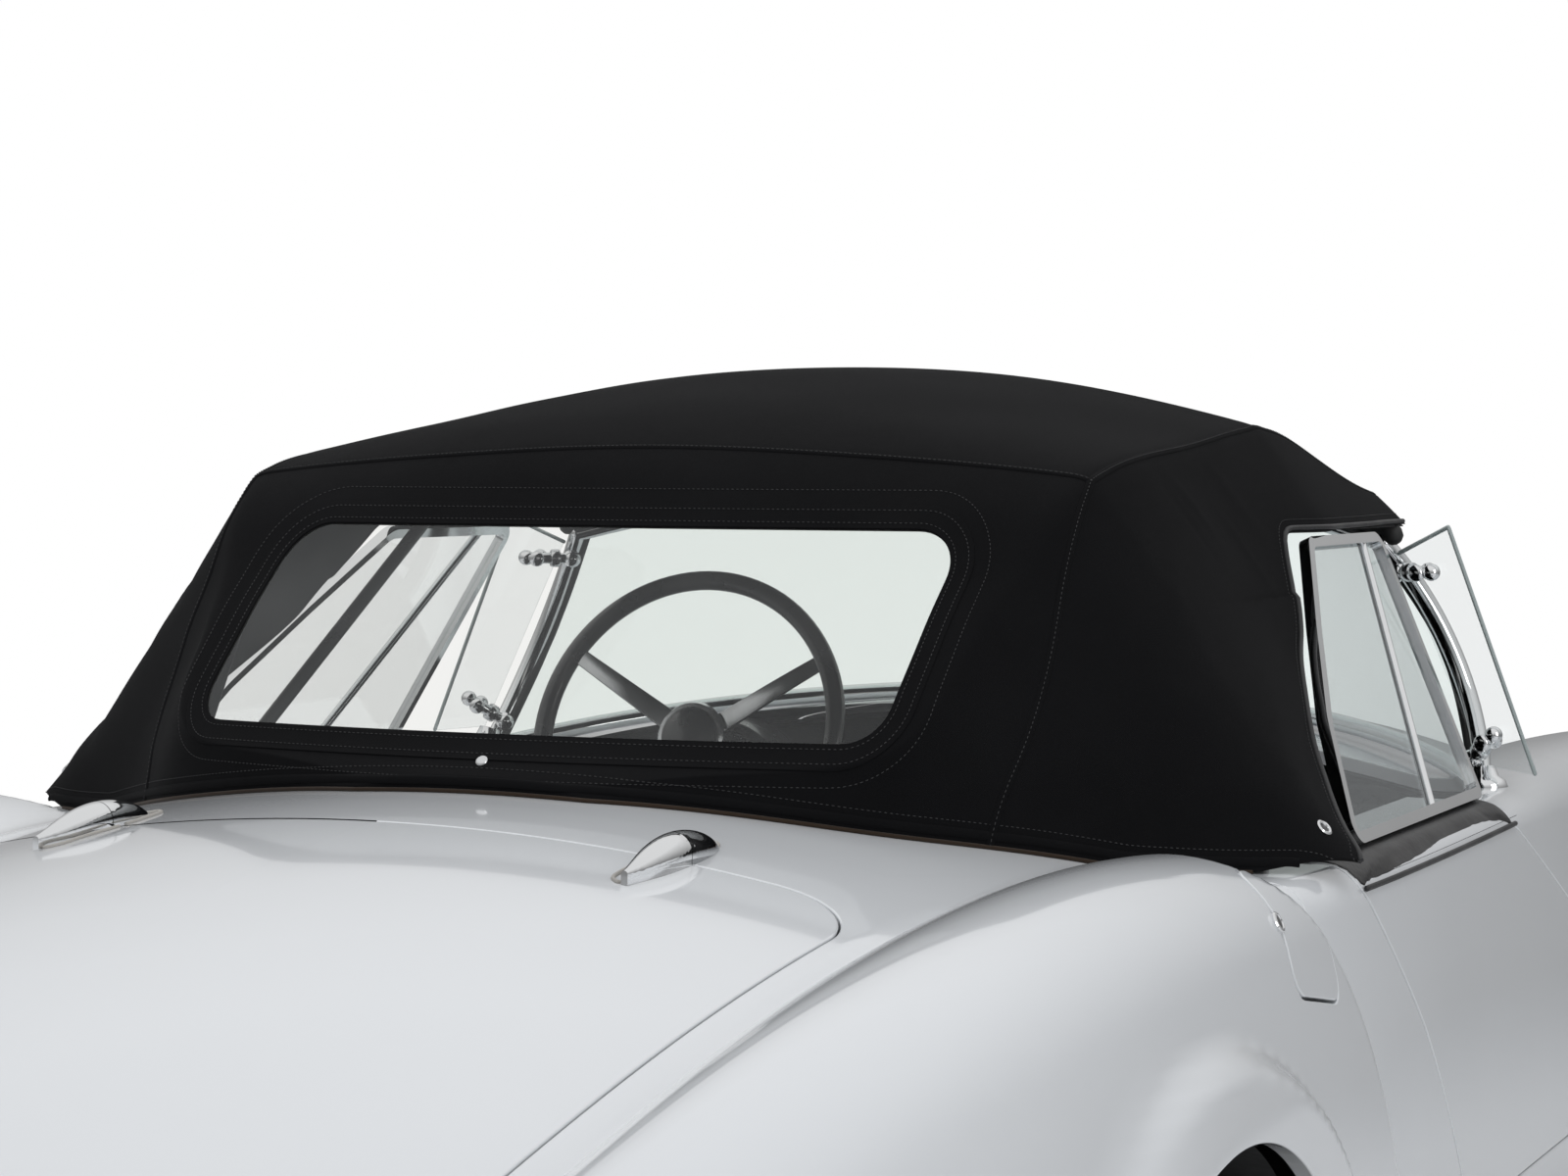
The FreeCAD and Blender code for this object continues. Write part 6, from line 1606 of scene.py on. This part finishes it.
HINGE_OUTLINE = [(0.083, 0.0), (0.080, 0.0055), (0.062, 0.0140), (0.020, 0.0190), (-0.020, 0.0180), (-0.060, 0.0120),
                 (-0.090, 0.0052), (-0.094, 0.0)]


def gasket(first, last):
    side = smooth_path([(y, x, 0) for y, x in HINGE_OUTLINE], 90)[:, :2]
    loop = np.concatenate([side, side[::-1] * (1, -1)])
    loop = loop[(loop[:, 0] > first) & (loop[:, 0] < last)] if first > -1 else loop
    runs = np.split(loop, np.nonzero(np.linalg.norm(np.diff(loop, axis=0), axis=1) > 0.02)[0] + 1)
    bars = []
    for run in runs:
        if len(run) > 4:
            line = np.array([on_skin(0.288 + x, REAR_Y + y, 0.95)[0] for y, x in run])
            bars.append(along(line + (0, 0, 0.0008), round_profile(0.0019, 8), (0, 0, 1)))
    return together(*bars)


piece("hinge_gaskets_deck", pairs(gasket(0.004, 0.2)), PALE_RUBBER, "car")
piece("hinge_gaskets_lid", pairs(gasket(-0.2, -0.004)), PALE_RUBBER, "boot")


# ---- steering wheel, gear lever and instruments ----

RAKE = math.radians(20)
HUB = np.array([-0.320, 0.165, 0.895])
WHEEL_AXIS = np.array([0, -math.cos(RAKE), math.sin(RAKE)])
WHEEL_UP = np.array([0, math.sin(RAKE), math.cos(RAKE)])
angle = np.linspace(0, 2 * math.pi, 24, endpoint=False)
rim_profile = [(0.200 + 0.0122 * math.cos(a), 0.0115 * math.sin(a)) for a in angle]
piece("steering_rim", lathe(rim_profile + rim_profile[:1], HUB, WHEEL_AXIS, 96), PLASTIC, "hand_wheel",
      "steering_wheel")
spokes = []
for turn in (60, 180, 300):
    reach = np.array([-math.sin(math.radians(turn)), 0, 0]) + WHEEL_UP * math.cos(math.radians(turn))
    line = np.array([HUB + reach * r - WHEEL_AXIS * drop for r, drop in
                     ((0.020, 0.022), (0.060, 0.018), (0.110, 0.010), (0.155, 0.004), (0.193, 0.0))])
    line = smooth_path(line, 26)
    spokes.append(along(line, block_profile(0.024, 0.0036, 0.0015), WHEEL_AXIS, size=np.linspace(1.15, 0.85, 26)))
piece("steering_spokes", together(*spokes), ALLOY, "hand_wheel")
HUB_SHAPE = [(0, -0.046), (0.030, -0.046), (0.030, -0.034), (0.036, -0.026), (0.044, -0.018), (0.045, -0.012),
             (0.042, -0.008)]
piece("steering_hub", lathe(HUB_SHAPE + [(0, -0.008)], HUB, WHEEL_AXIS, 48), ALLOY, "hand_wheel")
piece("horn_button", lathe([(0, -0.008), (0.036, -0.008), (0.036, -0.004), (0.030, 0.001), (0.016, 0.005), (0, 0.006)],
                           HUB, WHEEL_AXIS, 40), PLASTIC, "hand_wheel")

LEVER_FOOT = np.array([0, 0.030, 0.4253])
lever_line = smooth_path([LEVER_FOOT + (0, 0, 0.004), LEVER_FOOT + (0, -0.008, 0.09), LEVER_FOOT + (0, -0.040, 0.210)],
                         24)
piece("gear_lever_rod", tube(lever_line, 0.007, 14, up=(1, 0, 0)), CHROME, "car", "gear_lever")
KNOB_SHAPE = [(0, -0.022), (0.009, -0.021), (0.012, -0.018), (0.019, -0.010), (0.022, 0.0), (0.020, 0.010),
              (0.013, 0.018), (0.005, 0.0215), (0, 0.022)]
piece("gear_lever_knob", lathe(KNOB_SHAPE, LEVER_FOOT + (0, -0.042, 0.222), (0, -0.18, 1), 32), PLASTIC, "car")
boot_folds = [(0.046, 0.0), (0.043, 0.006), (0.044, 0.010), (0.036, 0.015), (0.037, 0.020), (0.029, 0.026),
              (0.030, 0.031), (0.020, 0.036), (0.014, 0.044), (0.0075, 0.046), (0, 0.046)]
piece("gear_lever_boot", lathe([(0, 0)] + boot_folds, LEVER_FOOT, (0, 0, 1), 40), LEATHER, "car")

HOOD_FACE = np.array([-0.320, 0.278, 0.812])
dial_places = [(HOOD_FACE + (0, -0.002, 0), 0.074), (np.array([-0.10, 0.2985, 0.790]), 0.030),
               (np.array([0.0, 0.2985, 0.790]), 0.030), (np.array([0.10, 0.2985, 0.790]), 0.030)]
AFT = np.array([0, -1, 0])
bezels, faces_, marks = [], [], []
for centre, radius in dial_places:
    bezels.append(lathe([(radius, 0), (radius + 0.006, 0), (radius + 0.006, 0.004), (radius + 0.002, 0.006),
                         (radius, 0.004), (radius, 0)], centre, AFT, 48))
    faces_.append(lathe([(0, 0), (radius + 0.001, 0), (radius + 0.001, 0.0015), (0, 0.0015)], centre, AFT, 40))
    ring = np.linspace(math.radians(-35), math.radians(215), 60)
    circle = np.column_stack([radius * 0.86 * np.cos(ring), np.full(60, -0.0018),
                              radius * 0.86 * np.sin(ring)]) + centre
    marks.append(np.column_stack([circle, np.tile(AFT, (60, 1))]))
    tip = centre + np.array([radius * 0.55, -0.003, radius * 0.45])
    bezels.append(along(smooth_path([centre + (-radius * 0.15, -0.003, -radius * 0.12), centre + (0, -0.003, 0), tip],
                                    12),
                        round_profile(0.0011, 6), AFT))
piece("dial_bezels", together(*bezels), CHROME, "car")
piece("dial_faces", together(*faces_), PLASTIC, "car")
row("dial_marks", BLOCKS, marks, INNER, "car", Spacing=0.0085, Size=(0.0010, 0.0045, 0.0006))


# ---- wheels: tyre with tread, hub cap and trim ring ----

RIM_RADIUS, WALL = 0.203, 0.0825
RING_POINTS = 181
RIB_SPACING = 0.024
RIBS = (-0.048, 0.3253), (-0.024, 0.3262), (0, 0.3264), (0.024, 0.3262), (0.048, 0.3253)
CAP = [(0.100, 0.012), (0.1095, 0.012), (0.1095, 0.0205), (0.104, 0.0235), (0.083, 0.0355), (0.066, 0.0405),
       (0.044, 0.0445), (0.040, 0.0475), (0.020, 0.0500), (0, 0.0505), (0, 0.044), (0.040, 0.040), (0.100, 0.012)]
TRIM_RING = [(0.196, 0.047), (0.2125, 0.0665), (0.2135, 0.0680), (0.2125, 0.0690), (0.2105, 0.0685), (0.190, 0.0480),
             (0.184, 0.042), (0.182, 0.038), (0.196, 0.047)]
SHOULDERS = [(0.0577, RIM_RADIUS + 0.0003), (0.0577, RIM_RADIUS + 0.011), (WALL - 0.006, RIM_RADIUS + 0.021),
             (WALL - 0.0005, RIM_RADIUS + 0.040), (WALL, 0.262), (WALL - 0.0015, 0.276), (WALL - 0.0005, 0.280),
             (WALL - 0.0025, 0.288), (WALL - 0.0055, 0.301), (WALL - 0.012, 0.315), (WALL - 0.022, 0.3225),
             (WALL - 0.040, 0.3248), (WALL - 0.060, 0.3255)]
for end, y, track in (("front", FRONT_Y, 1.280), ("rear", REAR_Y, 1.300)):
    for side, sign in (("right", 1), ("left", -1)):
        body = f"wheel_{end[0]}{side[0]}"
        centre, outward = np.array([sign * track / 2, y, AXLE_Z]), np.array([sign, 0, 0])
        profile = [(r, x) for x, r in SHOULDERS] + [(r, -x) for x, r in SHOULDERS[::-1]]
        tyre = lathe(profile + profile[:1], centre, outward, 96)
        piece(f"tyre_{end}_{side}_carcass", tyre, TYRE, body, f"tyre_{end}_{side}")
        ring = np.linspace(0, 2 * math.pi, RING_POINTS)
        lines = []
        for across_, radius in RIBS:
            shift = 0.5 * abs(across_) / RIB_SPACING * math.pi / 45
            out = np.column_stack([np.zeros(RING_POINTS), np.cos(ring + shift), np.sin(ring + shift)])
            lines.append(np.column_stack([centre + outward * across_ + out * radius, out]))
        row(f"tyre_{end}_{side}_tread", BLOCKS, lines, TYRE, body, Spacing=0.0255, Size=(0.0205, 0.0195, 0.0052))
        piece(f"hub_cap_{end}_{side}", lathe(CAP, centre, outward, 64), CHROME, body)
        piece(f"trim_ring_{end}_{side}", lathe(TRIM_RING, centre, outward, 72), CHROME, body)


# ---- wheel arches ----

LINER_RADIUS = 0.3785
LINER_POINTS = 72


def arch_tub(axle):
    turn = np.linspace(math.radians(-22), math.radians(202), LINER_POINTS)

    def ring(x, radius):
        return np.column_stack([np.full(LINER_POINTS, x), axle + radius * np.cos(turn), AXLE_Z + radius * np.sin(turn)])

    barrel = grid_sheet(np.array([ring(x, LINER_RADIUS) for x in (ARCH_WALL, 0.40, 0.55, 0.70, 0.742)]))
    return joined([barrel, grid_sheet(np.array([ring(ARCH_WALL, radius) for radius in (0.14, 0.26, LINER_RADIUS)]))])


piece("wheel_arch_liners", both(joined([arch_tub(REAR_Y), arch_tub(FRONT_Y)])), UNDER, "car")


# ---- lamps ----

AHEAD = np.array([0, 1, 0])
LENS_RADIUS = 0.0915
LENS_BASE = 0.0125
LENS_BULGE = 0.0255
bezel = lathe([(0.092, 0.013), (0.0945, 0.0145), (0.0985, 0.0135), (0.1035, 0.0080), (0.1060, 0.0010),
               (0.1050, -0.0040), (0.0990, -0.0060), (0.0910, -0.0040), (0.0905, 0.0080),
               (0.092, 0.013)], HEADLAMP, AHEAD, 72)
bowl = lathe([(LENS_RADIUS, 0.004), (LENS_RADIUS, -0.040), (0.070, -0.046), (0, -0.046), (0, -0.043), (0.050, -0.034),
              (0.075, -0.018), (0.0890, 0.004), (LENS_RADIUS, 0.004)], HEADLAMP, AHEAD, 56)
rise = np.linspace(0, math.pi / 2, 14)
lens_dome = [(LENS_RADIUS * math.cos(a), LENS_BASE + LENS_BULGE * math.sin(a)) for a in rise]
lens = lathe([(0, 0.004)] + lens_dome, HEADLAMP, AHEAD, 64)
piece("headlamp_bezels", pairs(bezel), CHROME, "car", "front_lamps")
piece("headlamp_bowls", pairs(bowl), ALLOY, "car")
piece("headlamp_lenses", pairs(lens), LENS, "car")
flutes = []
for x in np.arange(-0.072, 0.0721, 0.012):
    half = math.sqrt(0.083 ** 2 - x * x)
    z = np.linspace(-half, half, 30)
    r = np.hypot(x, z) / LENS_RADIUS
    bulge = LENS_BASE + LENS_BULGE * np.sqrt(1 - r * r)
    flutes.append(along(np.column_stack([np.full(30, x), bulge, z]) + HEADLAMP, round_profile(0.0016, 6), (0, 1, 0)))
piece("headlamp_flutes", pairs(*flutes), LENS, "car")


def small_lamp(centre, axis, radius, bulge, depth):
    ring = lathe([(radius - 0.003, -depth), (radius + 0.004, -depth), (radius + 0.005, -0.002), (radius + 0.003, 0.003),
                  (radius - 0.001, 0.004), (radius - 0.003, 0.002), (radius - 0.003, -depth)], centre, axis, 48)
    dome_ = lathe([(0, -0.002)] + [(radius * math.cos(a), 0.001 + bulge * math.sin(a))
                                   for a in np.linspace(0, math.pi / 2, 12)], centre, axis, 48)
    ribs = []
    for share in (0.35, 0.6, 0.82):
        at, top = radius * share, 0.001 + bulge * math.sqrt(1 - share * share)
        ribs.append(lathe([(at - 0.0012, top - 0.002), (at + 0.0012, top - 0.002), (at, top + 0.0014),
                           (at - 0.0012, top - 0.002)], centre, axis, 40))
    return ring, together(dome_, *ribs)


tail_ring, tail_lens = small_lamp(np.array([0.545, -2.0512, 0.545]), -AHEAD, 0.038, 0.016, 0.036)
turn_ring, turn_lens = small_lamp(np.array([0.544, 2.0375, 0.490]), AHEAD, 0.028, 0.012, 0.050)
piece("tail_lamp_rings", pairs(tail_ring), CHROME, "car", "tail_lamps")
piece("tail_lamp_lenses", pairs(tail_lens), RED, "car")
piece("turn_lamp_rings", pairs(turn_ring), CHROME, "car")
piece("turn_lamp_lenses", pairs(turn_lens), AMBER, "car")


# ---- bumpers' bolts and cockpit mats ----

bolts = []
for y, sign, z in ((NOSE_Y + 0.055, 1, 0.400), (TAIL_Y - 0.055, -1, 0.430)):
    for x in (0.27, 0.50):
        place = (x, y - sign * (0.0024 if x < 0.3 else 0.0058), z)
        bolts.append(lathe(dome_profile(0.011, 0.0024, 0.006), place, (0, sign, 0), 24))
piece("bumper_bolts", pairs(*bolts), CHROME, "car")


def mat(x0, x1, y0, y1, z):
    loop = Outline([(x1, y0, 0.05), (x1, y1, 0.05), (x0, y1, 0.05), (x0, y0, 0.05)]).line
    rings = [(0.0, 0.0), (0.0, 0.006), (0.0025, 0.009), (0.007, 0.010), (0.03, 0.0095)]
    centre = loop.mean(0)
    grid = []
    for inset, height in rings:
        scale = 1 - inset / np.maximum(np.linalg.norm(loop - centre, axis=1, keepdims=True), 1e-6)
        ring = centre + (loop - centre) * scale
        grid.append(np.column_stack([ring, np.full(len(ring), z + height)]))
    return solid(np.array(grid))


mats = cloth("cockpit_mats", pairs(mat(0.12, 0.60, 0.03, 0.62, 0.2105)), CARPET, "car")


# ---- camera, floor and light ----

AZIMUTH = 0.4236016
DROP = 0.0375364
ROLL = 0.00289194
CAMERA_PLACE = 1.52438, -3.63117, 1.23463
LENS_MM = 78.117
forward = Vector((-math.sin(AZIMUTH) * math.cos(DROP), math.cos(AZIMUTH) * math.cos(DROP), -math.sin(DROP)))
right = Vector((math.cos(AZIMUTH), math.sin(AZIMUTH), 0))
up = right.cross(forward)
right_rolled = right * math.cos(ROLL) + up * math.sin(ROLL)
up_rolled = right_rolled.cross(forward)
camera_data = bpy.data.cameras.new("camera")
camera_data.sensor_width = 36.0
camera_data.lens = LENS_MM
camera = placed("camera", camera_data)
camera.matrix_world = Matrix.Translation(CAMERA_PLACE) @ Matrix(
    (right_rolled, up_rolled, -forward)).transposed().to_4x4()
bpy.context.scene.camera = camera
bpy.context.scene.view_settings.view_transform = "Standard"

floor_mesh = bpy.data.meshes.new("floor")
floor_mesh.from_pydata([(-30, -30, 0), (30, -30, 0), (30, 30, 0), (-30, 30, 0)], [], [(0, 1, 2, 3)])
floor = placed("floor", floor_mesh)
FLOOR, floor_tree, floor_shader = material("studio floor")
tone = between(floor_tree, noise(floor_tree, object_place(floor_tree), 0.8), (0.74, 0.74, 0.74), (0.78, 0.78, 0.78))
wired(floor_tree, floor_shader, tone, None, Roughness=0.55)
# The floor fades out with distance, so that it meets the white background without an edge
away = add(floor_tree, "VectorMath", operation="LENGTH")
link(floor_tree, object_place(floor_tree), away.inputs[0])
fade = spread(floor_tree, away.outputs["Value"], 3.4, 7.0, 0.0, 1.0)
floor_surface = mixed_shader(floor_tree, fade, floor_shader.outputs[0], add(floor_tree, "BsdfTransparent").outputs[0])
link(floor_tree, floor_surface, floor_tree.nodes["Material Output"].inputs["Surface"])
floor.data.materials.append(FLOOR)


def softbox(name, place, aim, width, height, power, mirrors=False):
    """A soft lamp that lights the car; metal and paint mirror its face only where mirrors is set."""
    data = bpy.data.lights.new(name, "AREA")
    data.shape = "RECTANGLE"
    data.size, data.size_y, data.energy = width, height, power
    lamp = placed(name, data)
    lamp.rotation_euler = (Vector(aim) - Vector(place)).to_track_quat("-Z", "Y").to_euler()
    lamp.location = place
    lamp.visible_glossy = mirrors


softbox("overhead", (0, -0.6, 4.6), (0, -0.4, 0), 5.0, 7.0, 135)
softbox("side", (5.2, -2.6, 2.4), (0.3, -0.8, 0.7), 2.6, 4.0, 70, mirrors=True)
softbox("behind_camera", (-1.5, -7.5, 3.0), (0, -0.8, 0.7), 4.0, 2.2, 52)
softbox("front_fill", (-4.8, 1.5, 3.4), (0, 0, 0.6), 3.5, 3.5, 55)

world = bpy.data.worlds.new("studio")
bpy.context.scene.world = world
world.use_nodes = True
sky = world.node_tree
background = sky.nodes["Background"]
background.inputs["Color"].default_value = (0.62, 0.66, 0.72, 1)
background.inputs["Strength"].default_value = 0.40
path = add(sky, "LightPath")
white = add(sky, "Background", Strength=1.0, Color=(1, 1, 1, 1))
# Glossy rays see the white dimmed towards the horizon
reflected = add(sky, "Background")
height = add(sky, "SeparateXYZ")
link(sky, add(sky, "TexCoord").outputs["Generated"], height.inputs[0])
link(sky, spread(sky, height.outputs["Z"], 0.02, 0.60, 0.30, 1.0), reflected.inputs["Strength"])
seen = maths(sky, "MAXIMUM", path.outputs["Is Camera Ray"], path.outputs["Is Transmission Ray"])
lit = mixed_shader(sky, path.outputs["Is Glossy Ray"], background.outputs[0], reflected.outputs[0])
link(sky, mixed_shader(sky, seen, lit, white.outputs[0]), sky.nodes["World Output"].inputs["Surface"])
